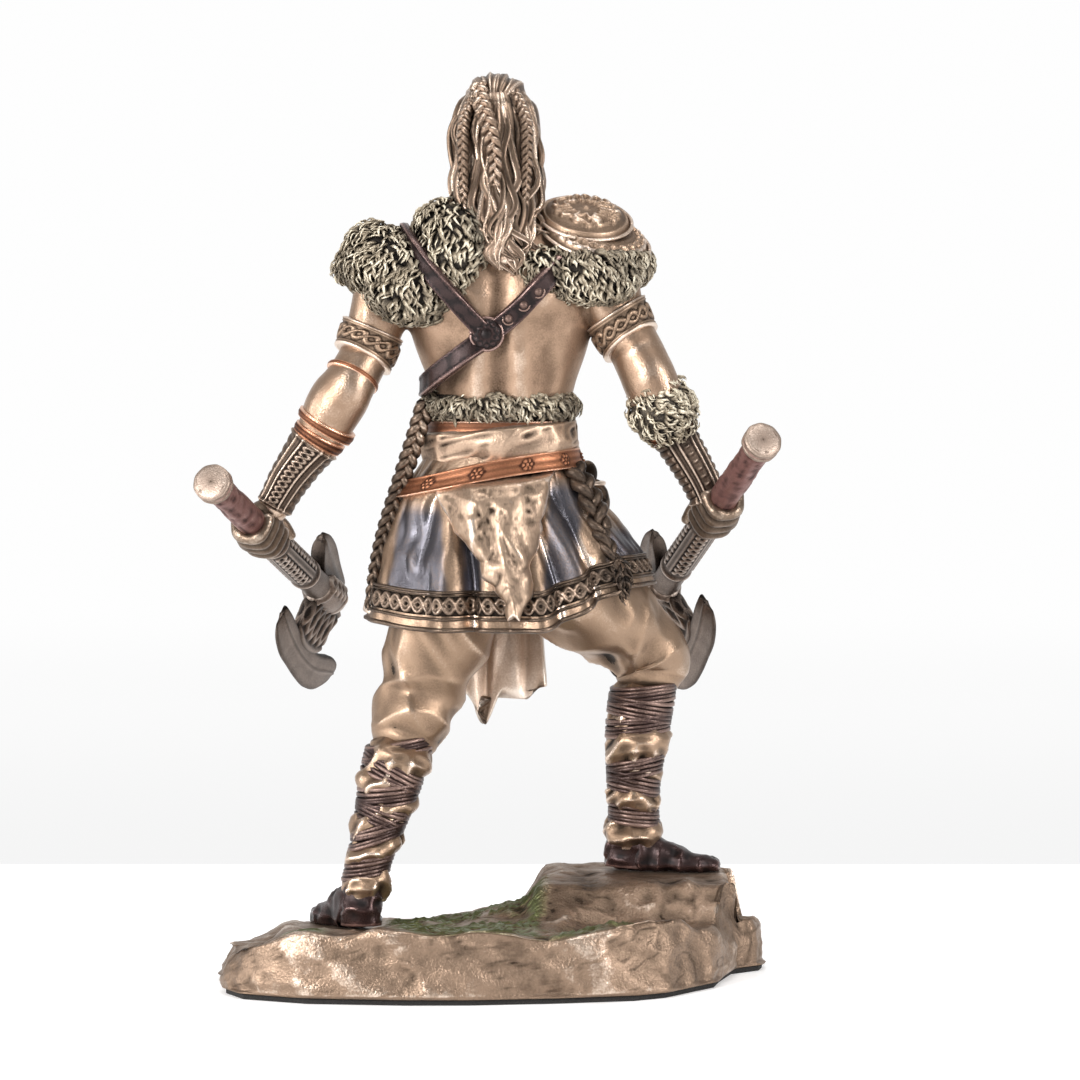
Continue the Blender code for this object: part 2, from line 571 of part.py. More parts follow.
def pelts():
    """The hide that hangs at the back, the tail beside it, and the plaited edge on the left."""
    def hide(s, t):
        x = 1 + (s - 0.5) * (17 - 12 * t) + 5.5 * t + 1.0 * np.sin(6 * t + 2)
        z = 112 - 36 * t
        y = -14.6 - 10.2 * t ** 0.8 - 1.3 * np.cos((s - 0.5) * 3) - 0.5 * np.sin(14 * s + 6 * t)
        return np.stack([x, y, z], -1)

    yield slab(hide, 2.6, 16, 12)
    flap = [
        (-9, -14.6, 112, 5, 2), (-7.5, -18.2, 103, 5, 2.6), (-6.4, -20.4, 96, 3, 1.8),
        (-4, -22.4, 90, 1, 0.8),
    ]
    yield loft(flap, 12, 12)
    tail = [
        (21.5, -6, 112, 2.4, 2), (25.5, -8, 104, 3.4, 2.8), (27, -10.6, 98, 2.6, 2.2),
        (30.4, -12, 92, 3.4, 2.6), (32, -13.4, 85, 0.8, 0.8),
    ]
    yield loft(tail, 18, 14, relief=fur_lumps(0.3, 1.0))
    yield from braid([(-16.2, -3, 129), (-17.2, -3.2, 121), (-19.8, -3, 113), (-22.6, -2, 104.6)], 1.9, 4)
    edge = [
        (-22.6, 2, 108, 2.4, 4.4), (-25, 2, 96, 2.4, 5), (-27.8, 2, 84, 2.6, 5.4),
        (-29.8, 2, 76.6, 2.6, 5.6),
    ]
    yield loft(edge, 14, 14, dome=0.3)
    yield ball((24.8, 17, 103), (5, 5, 6.6), (0, 0, 20))
    yield ball((24, 17.4, 110.6), (2.6, 3, 3.4))


def tabard():
    """The long cloth in front, seen between the legs, with a ragged hem."""
    def front(s, t):
        hem = 55.5 - 9.6 * np.exp(-(((s - 0.4) / 0.12) ** 2)) - 3.4 * np.exp(-(((s - 0.82) / 0.09) ** 2))
        x = -12.8 + 26.4 * s + (0.5 - s) * 9 * (1 - t)
        y = 16.5 + 11 * smooth(t * 1.5) - 6.5 * smooth((t - 0.5) * 2) + 1.5 * np.sin(16 * s + 0.8)
        return np.stack([x, y, 112 + (hem - 112) * t], -1)

    yield slab(front, CLOTH_THICKNESS / UNIT, 18, 26)


# Legs


LEFT_THIGH = [
    (-8, 1, 92, 12, 12), (-12, 1, 78, 12.8, 12.6), (-15, 1.5, 66, 12.4, 12), (-18.2, 2, 55.6, 10.4, 10.6),
    (-20.6, 0.6, 49.4, 10.2, 10.2), (-22.2, -0.4, 44.6, 8.6, 8.8),
]
LEFT_SHIN = [
    (-21.4, 0.5, 50, 7.6, 7.8), (-23.2, -2.4, 43, 8.1, 8.2), (-24.8, -6, 36.6, 7.9, 8.2),
    (-26.6, -8.6, 29, 7, 7.4), (-28.8, -11.2, 21.4, 5.9, 6.4), (-30.8, -13.2, 14, 5.4, 5.8),
    (-31.6, -13.8, 9.6, 6.2, 6.8),
]
RIGHT_THIGH = [
    (10, 2, 92, 13, 13), (17, 5, 84, 13, 12.6), (25.5, 12, 76.6, 12, 12), (34, 19, 70.4, 10.8, 11),
    (39, 23, 65.4, 10.2, 10.6), (40, 23.8, 60.4, 9.6, 10), (39.8, 23.4, 58, 8.4, 8.6),
]
RIGHT_SHIN = [
    (39.4, 23.4, 62, 7.8, 7.8), (38.4, 22, 55, 8.2, 8.2), (37.3, 20.4, 48, 8.1, 8.2),
    (36.6, 19.6, 41, 7.6, 7.6), (36, 19.5, 32, 6.6, 6.8), (36, 19.8, 23 + (STEP - 9.2) / 2, 6.2, 6.4),
    (36, 20, STEP + 9.4, 7.2, 7.4),
]


def trouser_folds(turn, along, points, outward):
    """Slack cloth: long pulls on the thigh that gather into rolls above the knee's wrapping."""
    roll = 0.85 * np.sin(26 * along + 2.2 * np.sin(turn)) * smooth((along - 0.5) / 0.3)
    pull = 0.5 * np.sin(3 * turn + 9 * along)
    return points + outward * (roll + pull)[..., None]


def wrap_rolls(count, phase):
    """Cloth that swells between the turns of a cord wound round the shin."""
    def relief(turn, along, points, outward):
        slope = 0.9 * np.sin(turn + phase)
        return points + outward * (0.5 * np.cos(count * 2 * math.pi * along + slope * 2))[..., None]
    return relief


def sole_z(x, y):
    """Height of the sole of whichever foot stands at this side."""
    slope = (LEFT_TOE[2] - LEFT_HEEL[2]) / (LEFT_TOE[1] - LEFT_HEEL[1])
    return np.where(x > 0, STEP, LEFT_HEEL[2] + slope * (y - LEFT_HEEL[1]))


def foot(heel, toe):
    """A low shoe, flat underneath: stations from heel to toe of (share, half width, height)."""
    heel, toe = np.array(heel), np.array(toe)
    stations = []
    for share, width, height in (
        (0.02, 3.6, 6), (0.14, 4.4, 9.6), (0.32, 4.6, 9.8), (0.5, 4.8, 7.4), (0.7, 5.2, 5.2),
        (0.88, 4.4, 3.8), (0.97, 3, 2.8),
    ):
        middle = heel + (toe - heel) * share + np.array([0, 0, height / 2 - 0.8])
        stations.append((*middle, width, height / 2 + 0.8))
    side = unit(np.cross(toe - heel, (0, 0, 1)))
    verts, faces = loft(stations, 20, 20, aim=side, dome=0.5, square=0.8)
    verts[:, 2] = np.maximum(verts[:, 2], sole_z(verts[:, 0], verts[:, 1]))
    return verts, faces


def legs():
    yield loft(LEFT_THIGH, 26, 26, relief=trouser_folds)
    yield loft(RIGHT_THIGH, 26, 26, aim=(0.4, 0, 0.9), relief=trouser_folds)
    for shin, phase in ((LEFT_SHIN, 0.4), (RIGHT_SHIN, 2.0)):
        yield loft(shin, 44, 22, dome=0, relief=wrap_rolls(5.5, phase))
    yield foot(LEFT_HEEL, LEFT_TOE)
    yield foot(RIGHT_HEEL, RIGHT_TOE)


# The rock


# The rock's edge, anticlockwise, as shares of its half length and half depth from its middle
ROCK_EDGE = [
    (-0.961, -0.556), (-0.889, -0.77), (-0.657, -0.936), (-0.314, -1), (-0.079, -1), (0.233, -0.936),
    (0.509, -0.837), (0.621, -0.73), (0.723, -0.52), (0.803, -0.363), (0.829, -0.16), (0.879, 0.123),
    (0.984, 0.26), (1, 0.383), (0.964, 0.63), (0.85, 0.85), (0.664, 0.975), (0.421, 1), (0.179, 0.9),
    (0.007, 0.728), (-0.207, 0.617), (-0.464, 0.58), (-0.693, 0.52), (-0.879, 0.395), (-0.983, 0.185),
    (-1, -0.06), (-0.957, -0.26),
]


def rock_box():
    """Middle and half sizes of the rock, which reaches past the feet, in millimetres."""
    left = min(LEFT_TOE[0], LEFT_HEEL[0]) * UNIT - BASE_REACH_LEFT
    right = RIGHT_TOE[0] * UNIT + BASE_REACH_RIGHT
    low = np.array([left, LEFT_HEEL[1] * UNIT - BASE_REACH_BACK])
    high = np.array([right, RIGHT_HEEL[1] * UNIT + BASE_REACH_FRONT])
    return (low + high) / 2, (high - low) / 2


def rock_edge(between=2):
    """The rock's edge as points, with some put between the given ones."""
    middle, half = rock_box()
    corners = np.array(ROCK_EDGE) * half + middle
    nexts = np.roll(corners, -1, axis=0)
    shares = (np.arange(between) / between)[None, :, None]
    return (corners[:, None] + (nexts - corners)[:, None] * shares).reshape(-1, 2)


def rock_top(x, y):
    """Height of the rock's top over the pad: a shelf that carries the left foot, and a step
    that carries the right foot, with a low lobe beyond it."""
    x, y = x / UNIT, y / UNIT
    left_seat = LEFT_SOLE_Z - SEAT_GAP + sole_z(-1.0, y) * UNIT
    foot_x, foot_y = (LEFT_HEEL[0] + LEFT_TOE[0]) / 2, (LEFT_HEEL[1] + LEFT_TOE[1]) / 2
    rough = smooth((np.hypot((x - foot_x) / 13, (y - foot_y) / 20) - 1) / 0.4)
    shelf = left_seat * (1 - smooth((x + 12) / 24)) + (LEFT_SEAT_Z + 0.4) * smooth((x + 12) / 24)
    rim = 1.3 * smooth((-y - 33) / 8) + 3.4 * smooth((x - 18) / 22) * smooth((-y - 24) / 8)
    end = -5.5 * smooth((-x - 42) / 26)
    mound = 2.4 * np.exp(-(((x - 3) / 13) ** 2) - ((y - 4) / 12) ** 2)
    lumps = 0.7 * np.sin(x * 0.23 + 1) * np.cos(y * 0.29) + 0.4 * np.sin(x * 0.31 - y * 0.2)
    ground = shelf + rough * (rim + mound + end + lumps)
    carry = smooth((x - 6) / 8) * smooth((y + 15) / 12) * smooth((61.6 - x) / 2.6)
    lobe = LEFT_SEAT_Z - 1.2 + 0.6 * np.sin(y * 0.7) - 0.12 * np.maximum(y - 4, 0)
    ground = np.where(x > 60, lobe, ground)
    return ground + carry * (LEFT_SEAT_Z + STEP_RISE - ground)


def rock():
    """Rings from the foot up the side, then over the top to the middle."""
    middle, _ = rock_box()
    edge = rock_edge()
    count = np.arange(len(edge))
    rings = []
    for share, height in ((0.985, 0.0), (0.995, 0.2), (0.99, 0.5), (0.975, 0.82), (0.955, 1.0)):
        chips = 0.01 * np.sin(count * 5.1 + height * 7)[:, None] if 0 < height < 1 else 0
        place = middle + (edge - middle) * (share + chips)
        top = rock_top(*(middle + (place - middle) * 0.97).T)
        rings.append(np.column_stack([place, ROCK_FOOT_Z + height * (top - ROCK_FOOT_Z)]))
    for share in (0.9, 0.8, 0.68, 0.55, 0.42, 0.29, 0.15):
        place = middle + (edge - middle) * share
        rings.append(np.column_stack([place, rock_top(*place.T)]))
    return close_rings(np.array(rings))


def felt():
    middle, _ = rock_box()
    edge = middle + (rock_edge() - middle) * 0.985
    edge = edge - unit(edge - middle) * FELT_INSET
    rings = [np.column_stack([edge, np.full(len(edge), z)]) for z in (0.0, FELT_THICKNESS)]
    return close_rings(np.array(rings))


# Objects


def material(name, colour, metallic, roughness):
    made = bpy.data.materials.new(name)
    made.use_nodes = True
    shader = made.node_tree.nodes["Principled BSDF"]
    shader.inputs["Base Color"].default_value = (*colour, 1)
    shader.inputs["Metallic"].default_value = metallic
    shader.inputs["Roughness"].default_value = roughness
    return made


def add_object(name, forms, look):
    """One object from closed forms in millimetres, placed over the middle of the rock."""
    middle, _ = rock_box()
    verts, faces, start = [], [], 0
    for points, corners in forms:
        verts.extend(((np.asarray(points) - np.array([*middle, 0])) * MM).tolist())
        faces.extend([[start + i for i in face] for face in corners])
        start += len(points)
    mesh = bpy.data.meshes.new(name)
    mesh.from_pydata(verts, [], faces)
    obj = bpy.data.objects.new(name, mesh)
    mesh.materials.append(look)
    bpy.context.scene.collection.objects.link(obj)
    return obj


def baked(obj):
    """Replaces the object's mesh by what its modifiers make of it."""
    graph = bpy.context.evaluated_depsgraph_get()
    made = bpy.data.meshes.new_from_object(obj.evaluated_get(graph))
    obj.modifiers.clear()
    obj.data = made
    return made


def fuse(obj, triangles):
    """Makes one closed skin of forms that run into each other, then facets it."""
    remesh = obj.modifiers.new("fuse", "REMESH")
    remesh.mode = "VOXEL"
    remesh.voxel_size = FUSE_SIZE * UNIT * MM
    skin_mesh = baked(obj)
    count = sum(len(p.vertices) - 2 for p in skin_mesh.polygons)
    facet = obj.modifiers.new("facet", "DECIMATE")
    facet.ratio = triangles / count
    baked(obj)


def seat_soles(mesh):
    """Presses the soles flat, each on its own height."""
    points = np.empty(len(mesh.vertices) * 3, np.float32)
    mesh.vertices.foreach_get("co", points)
    points = points.reshape(-1, 3)
    middle, _ = rock_box()
    x, y = points[:, 0] / MM + middle[0], points[:, 1] / MM + middle[1]
    sole = (LEFT_SOLE_Z + sole_z(x / UNIT, y / UNIT) * UNIT) * MM
    low = points[:, 2] < sole + 0.5 * MM
    points[low, 2] = sole[low]
    mesh.vertices.foreach_set("co", points.ravel())
    mesh.update()


def figure_forms():
    groups = (
        skin, face, hair, fur_mantle, pauldron, straps, arm_gear, hands_and_axes, kilt, waist, pelts,
        tabard, legs,
    )
    for group in groups:
        for verts, faces in group():
            yield np.asarray(verts) * UNIT + np.array([0, 0, LEFT_SOLE_Z]), faces


def main():
    for old in list(bpy.data.objects):
        bpy.data.objects.remove(old)
    bronze = material("bronze_resin", BRONZE, 0.9, 0.35)
    figure = add_object("viking_figure", figure_forms(), bronze)
    fuse(figure, FIGURE_TRIANGLES)
    seat_soles(figure.data)
    add_object("rock_base", [rock()], bronze)
    add_object("felt_pad", [felt()], material("felt", FELT, 0.0, 0.95))


main()
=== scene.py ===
import itertools
import math

import bpy
import numpy as np
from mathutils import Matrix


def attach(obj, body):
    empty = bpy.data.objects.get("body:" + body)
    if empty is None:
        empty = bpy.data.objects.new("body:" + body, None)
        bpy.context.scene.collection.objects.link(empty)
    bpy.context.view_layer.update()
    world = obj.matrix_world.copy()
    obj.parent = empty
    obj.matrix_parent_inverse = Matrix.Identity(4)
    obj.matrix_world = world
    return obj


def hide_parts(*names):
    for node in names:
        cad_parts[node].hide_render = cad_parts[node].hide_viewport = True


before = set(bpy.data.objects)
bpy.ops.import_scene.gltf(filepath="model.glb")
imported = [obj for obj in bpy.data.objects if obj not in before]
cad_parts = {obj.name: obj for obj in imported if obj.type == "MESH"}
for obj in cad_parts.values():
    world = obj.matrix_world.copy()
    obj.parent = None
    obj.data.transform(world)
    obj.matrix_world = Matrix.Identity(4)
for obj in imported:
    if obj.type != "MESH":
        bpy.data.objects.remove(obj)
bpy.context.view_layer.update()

# The figure's numbers are millimetres from the sole of its left foot, as in the part's source.
MM = 0.001
SOLE_Z = 14.3
MIDDLE = np.array([0.5, -7.5, 0.0])
STEP = 9.2  # the raised foot's sole over the other's
TAU = 2 * math.pi


# Shapes. A form is (points, quads, triangles), with its own relief as a fourth entry where it
# brings one: 0 where the paint is pale, 1 where it is dark, nan where the mesh decides.


def angles(count):
    return np.linspace(0, TAU, count, endpoint=False)


def unit(v):
    v = np.asarray(v, float)
    return v / np.maximum(np.linalg.norm(v, axis=-1, keepdims=True), 1e-9)


def smooth(t):
    t = np.clip(t, 0.0, 1.0)
    return t * t * (3 - 2 * t)


def bump(x, width):
    return np.exp(-((x / width) ** 2))


def xyz(x, y, z):
    """Points from three numbers or grids."""
    return np.stack(np.broadcast_arrays(x, y, z), -1)


def corners(f):
    """The eight corners of a grid cell, with each one's weight at the place f in the cell."""
    for dx, dy, dz in itertools.product((0, 1), repeat=3):
        yield dx, dy, dz, abs(1 - dx - f[..., 0]) * abs(1 - dy - f[..., 1]) * abs(1 - dz - f[..., 2])


NOISE_TABLE = 8192
NOISE_STRIDES = (73, 1931, 5477)


def noise(points, size, seed, octaves=2):
    """Smooth noise from about -1 to 1, with features of the given size in millimetres."""
    table = np.random.default_rng(seed).uniform(-1, 1, NOISE_TABLE)
    points = np.asarray(points, float)
    total, share = 0.0, 1.0
    for octave in range(octaves):
        q = points / size * 2**octave + 17.3 * octave
        cell = np.floor(q).astype(np.int64)
        value = 0.0
        for *step, weight in corners(smooth(q - cell)):
            key = sum((cell[..., i] + step[i]) * NOISE_STRIDES[i] for i in range(3))
            value = value + table[key % NOISE_TABLE] * weight
        total, share = total + value * share, share / 2
    return total


def crest(points, size, seed, octaves=2, level=0.4):
    """Sharp crests between soft hollows, as in pulled cloth and creased leather."""
    return level - abs(noise(points, size, seed, octaves))


def spline(rows, count):
    """count rows of numbers on a smooth curve through the given rows, which start x, y, z."""
    rows = np.array(rows, float)
    gaps = np.linalg.norm(np.diff(rows[:, :3], axis=0), axis=1)
    knots = np.concatenate([[0.0], np.cumsum(np.maximum(gaps, 1e-6))])
    slopes = np.gradient(rows, knots, axis=0)
    where = np.linspace(0.0, knots[-1], count)
    index = np.clip(np.searchsorted(knots, where) - 1, 0, len(rows) - 2)
    span = (knots[index + 1] - knots[index])[:, None]
    t = (where - knots[index])[:, None] / span
    return (
        (2 * t**3 - 3 * t**2 + 1) * rows[index]
        + (t**3 - 2 * t**2 + t) * span * slopes[index]
        + (3 * t**2 - 2 * t**3) * rows[index + 1]
        + (t**3 - t**2) * span * slopes[index + 1]
    )


def rows_of_quads(count, sides):
    i, j = np.arange(count - 1)[:, None], np.arange(sides)[None, :]
    k = (j + 1) % sides
    low, high = i * sides, (i + 1) * sides
    return np.stack([low + j, low + k, high + k, high + j], -1).reshape(-1, 4)


def close_rings(rings):
    count, sides = rings.shape[:2]
    points = np.concatenate([rings.reshape(-1, 3), [rings[0].mean(0), rings[-1].mean(0)]])
    j = np.arange(sides)
    k = (j + 1) % sides
    last = (count - 1) * sides
    first = np.stack([k, j, np.full(sides, count * sides)], -1)
    final = np.stack([last + j, last + k, np.full(sides, count * sides + 1)], -1)
    return points, rows_of_quads(count, sides), np.concatenate([first, final])


def loft(stations, rings, sides, aim=(1, 0, 0), dome=0.5, square=1.0, relief=None):
    """A closed body through stations of (x, y, z, a, b): a is the half width along aim."""
    rows = spline(stations, rings)
    centre, a, b = rows[:, :3], rows[:, 3:4], rows[:, 4:5]
    tangent = unit(np.gradient(centre, axis=0))
    across = unit(aim - (aim * tangent).sum(1, keepdims=True) * tangent)
    other = np.cross(tangent, across)
    turn = np.linspace(0, TAU, sides, endpoint=False)
    c, s = np.cos(turn), np.sin(turn)
    c, s = np.sign(c) * abs(c) ** square, np.sign(s) * abs(s) ** square
    points = centre[:, None] + across[:, None] * (a * c)[..., None] + other[:, None] * (b * s)[..., None]
    if relief:
        outward = unit(across[:, None] * (b * c)[..., None] + other[:, None] * (a * s)[..., None])
        along = np.linspace(0, 1, rings)[:, None] + 0 * turn
        points = relief(turn + 0 * along, along, points, outward)
    if not dome:
        return close_rings(points)
    ring = points - centre[:, None]
    lift = np.array([0.35, 0.7, 0.95]) * math.pi / 2
    start = [centre[0] - tangent[0] * dome * a[0] * math.sin(d) + ring[0] * math.cos(d) for d in lift]
    finish = [centre[-1] + tangent[-1] * dome * a[-1] * math.sin(d) + ring[-1] * math.cos(d) for d in lift]
    return close_rings(np.concatenate([start[::-1], points, finish]))


def tube(points, radius, rings, sides=8):
    radius = np.broadcast_to(radius, (len(points),))
    return loft([(*p, r, r) for p, r in zip(points, radius, strict=True)], rings, sides, (0, 0, 1))


def turned(x, y, z):
    """The turn by those degrees about the x, y and z axes, in that order."""
    rx, ry, rz = (math.radians(d) for d in (x, y, z))
    mx = np.array([[1, 0, 0], [0, math.cos(rx), -math.sin(rx)], [0, math.sin(rx), math.cos(rx)]])
    my = np.array([[math.cos(ry), 0, math.sin(ry)], [0, 1, 0], [-math.sin(ry), 0, math.cos(ry)]])
    mz = np.array([[math.cos(rz), -math.sin(rz), 0], [math.sin(rz), math.cos(rz), 0], [0, 0, 1]])
    return mz @ my @ mx


def ball(centre, radii, turn=(0, 0, 0), rings=16, sides=24, bumps=None):
    lat = np.linspace(0.03, math.pi - 0.03, rings)[:, None]
    lon = angles(sides)[None, :]
    way = xyz(np.sin(lat) * np.cos(lon), np.sin(lat) * np.sin(lon), np.cos(lat))
    size = bumps(way)[..., None] if bumps else 1.0
    return close_rings((way * np.array(radii) * size) @ turned(*turn).T + np.array(centre))


def slab(surface, thickness, rows, columns):
    """A closed sheet. surface(s, t) gives its middle, s across, t down."""
    s, t = np.meshgrid(np.linspace(0, 1, columns), np.linspace(0, 1, rows))
    middle = surface(s, t)
    normal = unit(np.cross(np.gradient(middle, axis=1), np.gradient(middle, axis=0)))
    front, back = middle + normal * thickness / 2, middle - normal * thickness / 2
    return close_rings(np.concatenate([front, back[:, ::-1]], axis=1))


def oval(centre, wide, high, count):
    """Points of a closed oval with the given half axes."""
    a = np.linspace(0, TAU, count)[:, None]
    return np.array(centre) + np.cos(a) * np.array(wide) + np.sin(a) * np.array(high)


def toned(form, tone):
    """The form with one relief all over."""
    return (*form[:3], np.full(len(form[0]), tone))


def joined(forms):
    points, quads, tris, own, start = [], [], [], [], 0
    for form in forms:
        p, q, t, relief = form if len(form) > 3 else toned(form, np.nan)
        points.append(p)
        quads.append(q + start)
        tris.append(t + start)
        own.append(relief)
        start += len(p)
    return tuple(np.concatenate(rows) for rows in (points, quads, tris, own))


def ridge(distance, half):
    """Height of a round cord of that half width, from 0 to 1."""
    return np.sqrt(np.clip(1 - (distance / half) ** 2, 0, 1))


def knot(u, v, strand=0.3, reach=0.62):
    """Two cords that wind round each other: u along in half turns, v across from -1 to 1."""
    first, second = reach * np.sin(math.pi * u), -reach * np.sin(math.pi * u)
    lean = np.sqrt(1 + (reach * 2.2 * np.cos(math.pi * u)) ** 2)
    a, b = ridge((v - first) / lean, strand), ridge((v - second) / lean, strand)
    over = np.floor(u + 0.5) % 2 == 0
    under_a = a * (1 - 0.85 * smooth((b - 0.02) / 0.1))
    under_b = b * (1 - 0.85 * smooth((a - 0.02) / 0.1))
    return np.where(over, np.maximum(a, under_b), np.maximum(b, under_a))


# Meshes

PIECES = []
GIVEN = {}


def linked(name, data):
    """A new object in the scene."""
    made = bpy.data.objects.new(name, data)
    bpy.context.scene.collection.objects.link(made)
    return made


def placed(points, figure=True):
    """From the script's millimetres to the part's frame in metres."""
    return ((points + np.array([0, 0, SOLE_Z if figure else 0]) - MIDDLE) * MM).astype(np.float32)


def unplaced(points):
    """The way back, for pieces of the figure."""
    return points / MM + MIDDLE - np.array([0, 0, SOLE_Z])


def make_mesh(name, form, figure=True):
    points, quads, tris = form[:3]
    mesh = bpy.data.meshes.new(name)
    mesh.vertices.add(len(points))
    mesh.vertices.foreach_set("co", placed(points, figure).ravel())
    loops = np.concatenate([quads.ravel(), tris.ravel()]).astype(np.int32)
    mesh.loops.add(len(loops))
    mesh.loops.foreach_set("vertex_index", loops)
    mesh.polygons.add(len(quads) + len(tris))
    starts = np.concatenate([np.arange(len(quads)) * 4, len(quads) * 4 + np.arange(len(tris)) * 3])
    mesh.polygons.foreach_set("loop_start", starts.astype(np.int32))
    mesh.update(calc_edges=True)
    mesh.validate()
    return mesh


def piece(name, forms, look, slot="bronze_figure", figure=True, **marks):
    """One piece of the figure from closed forms, riding on the part. Its marks say how its
    relief is read: crowded is the share taken from how thickly surfaces lie round it, close
    the share of the rest from the smallest dents, gain how strongly it shows."""
    form = joined(forms)
    GIVEN[name] = form[3]
    return place(name, make_mesh(name, form, figure), look, slot, **marks)


def place(name, mesh, look, slot, crowded=0.0, close=0.5, gain=1.0):
    """Puts a finished mesh into the scene and keeps its marks."""
    mesh.polygons.foreach_set("use_smooth", np.ones(len(mesh.polygons), bool))
    mesh.materials.clear()
    mesh.materials.append(look)
    obj = linked(name, mesh)
    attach(obj, "root")
    obj["crowded"], obj["close"], obj["gain"] = crowded, close, gain
    PIECES.append(obj)
    return obj


def fused(name, forms, cell, look, carve=None, relax=2, **marks):
    """One skin of forms that run into each other, relaxed, then carved by a function."""
    mesh = make_mesh(name + "_raw", joined(forms))
    raw = linked(name + "_raw", mesh)
    remesh = raw.modifiers.new("fuse", "REMESH")
    remesh.mode = "VOXEL"
    remesh.voxel_size = cell * MM
    soft = raw.modifiers.new("relax", "SMOOTH")
    soft.factor = 0.5
    soft.iterations = relax
    made = bpy.data.meshes.new_from_object(raw.evaluated_get(bpy.context.evaluated_depsgraph_get()))
    bpy.data.objects.remove(raw)
    made.name = name
    if carve:
        points, normals = read(made)
        points = unplaced(points)
        points = points + normals * carve(points)[:, None]
        made.vertices.foreach_set("co", placed(points).ravel())
        made.update()
    return place(name, made, look, "bronze_figure", **marks)


def listed(rows, field, count, kind=np.float32):
    """One field of a mesh's rows as an array."""
    values = np.empty(count, kind)
    rows.foreach_get(field, values)
    return values


def read(mesh):
    count = len(mesh.vertices) * 3
    points, normals = listed(mesh.vertices, "co", count), listed(mesh.vertex_normals, "vector", count)
    return points.reshape(-1, 3).astype(float), normals.reshape(-1, 3).astype(float)


def mark(mesh, name, value):
    mesh.attributes.new(name, "FLOAT", "POINT").data.foreach_set("value", value.astype(np.float32))


def areas(mesh, count):
    """Each vertex's share of the surface, in square metres."""
    area = listed(mesh.polygons, "area", len(mesh.polygons))
    size = listed(mesh.polygons, "loop_total", len(mesh.polygons), np.int32)
    corner = listed(mesh.loops, "vertex_index", len(mesh.loops), np.int32)
    return np.bincount(corner, np.repeat(area / size, size), count)


def blurred(grid, reach):
    """Box blur twice along each axis."""
    for axis in (0, 1, 2):
        for _ in range(2):
            total = np.cumsum(grid, axis=axis, dtype=np.float32)
            ahead = np.roll(total, -reach, axis=axis)
            behind = np.roll(total, reach + 1, axis=axis)
            grid = (ahead - behind) / (2 * reach + 1)
    return grid


def crowding(cell, reach, rise):
    """How much surface lies round a point just above each vertex: high in a recess."""
    data = [(o, *read(o.data)) for o in PIECES]
    low = np.min([p.min(0) for _, p, _ in data], axis=0) - 8 * cell
    high = np.max([p.max(0) for _, p, _ in data], axis=0) + 8 * cell
    shape = np.ceil((high - low) / cell).astype(int) + 1
    grid = np.zeros(int(np.prod(shape)), np.float32)
    for o, points, _ in data:
        index = ((points - low) / cell).astype(int)
        flat = np.ravel_multi_index(index.T, shape)
        grid += np.bincount(flat, areas(o.data, len(points)), len(grid)).astype(np.float32)
    grid = blurred(grid.reshape(shape), reach)
    found = {}
    for o, points, normals in data:
        q = (points + normals * rise - low) / cell - 0.5
        base = np.floor(q).astype(int)
        value = 0.0
        for dx, dy, dz, weight in corners(q - base):
            value = value + grid[base[:, 0] + dx, base[:, 1] + dy, base[:, 2] + dz] * weight
        found[o.name] = value / cell**2
    return found


def hollow(mesh, steps):
    """How far each vertex lies below the evened surface round it, in metres."""
    points, normals = read(mesh)
    ends = listed(mesh.edges, "vertices", len(mesh.edges) * 2, np.int32).reshape(-1, 2).T
    here, there = ends.ravel(), ends[::-1].ravel()
    count = np.maximum(np.bincount(here, minlength=len(points)), 1)
    even = points
    for _ in range(steps):
        around = [np.bincount(here, even[there, i], len(points)) / count for i in range(3)]
        even = 0.5 * even + 0.5 * np.stack(around, 1)
    return ((even - points) * normals).sum(1)


def scaled(value):
    """From 0 at the lowest values to 1 at the highest, with the median at a half."""
    low, middle, high = np.percentile(value, (4, 50, 96))
    below = 0.5 * (value - low) / max(middle - low, 1e-9)
    above = 0.5 + 0.5 * (value - middle) / max(high - middle, 1e-9)
    return np.clip(np.where(value < middle, below, above), -0.2, 1.3)


def set_relief():
    """Stores how sunk each vertex lies: relief on a fine scale, shade on a broad one."""
    fine = crowding(0.55 * MM, 1, 0.9 * MM)
    broad = crowding(1.1 * MM, 2, 2.4 * MM)
    for o in PIECES:
        near, wide = (scaled(hollow(o.data, steps)) for steps in (2, 12))
        share, close = o["crowded"], o["close"]
        relief = share * scaled(fine[o.name]) + (1 - share) * (close * near + (1 - close) * wide)
        relief = 0.5 + (relief - 0.5) * o["gain"]
        given = GIVEN.get(o.name, np.full(len(relief), np.nan))
        relief = np.where(np.isnan(given), relief, 0.35 * relief + 0.65 * given)
        mark(o.data, "relief", relief)
        mark(o.data, "shade", scaled(broad[o.name]))


# Materials


def feed(links, socket, value):
    """Sets a socket, or links it to another node's."""
    if isinstance(value, bpy.types.NodeSocket):
        links.new(value, socket)
    else:
        socket.default_value = value


def new_material(name):
    """A material with its nodes, links and shader, and the object's own coordinates."""
    made = bpy.data.materials.new(name)
    made.use_nodes = True
    nodes = made.node_tree.nodes
    place = nodes.new("ShaderNodeTexCoord").outputs["Object"]
    return made, nodes, made.node_tree.links, nodes["Principled BSDF"], place


def mix(nodes, links, factor, first, second):
    node = nodes.new("ShaderNodeMix")
    node.data_type = "RGBA"
    feed(links, node.inputs[0], factor)
    feed(links, node.inputs[6], first)
    node.inputs[7].default_value = (*second, 1)
    return node.outputs[2]


def maths(nodes, links, kind, *values):
    node = nodes.new("ShaderNodeMath")
    node.operation = kind
    for socket, value in zip(node.inputs, values):
        feed(links, socket, value)
    return node.outputs[0]


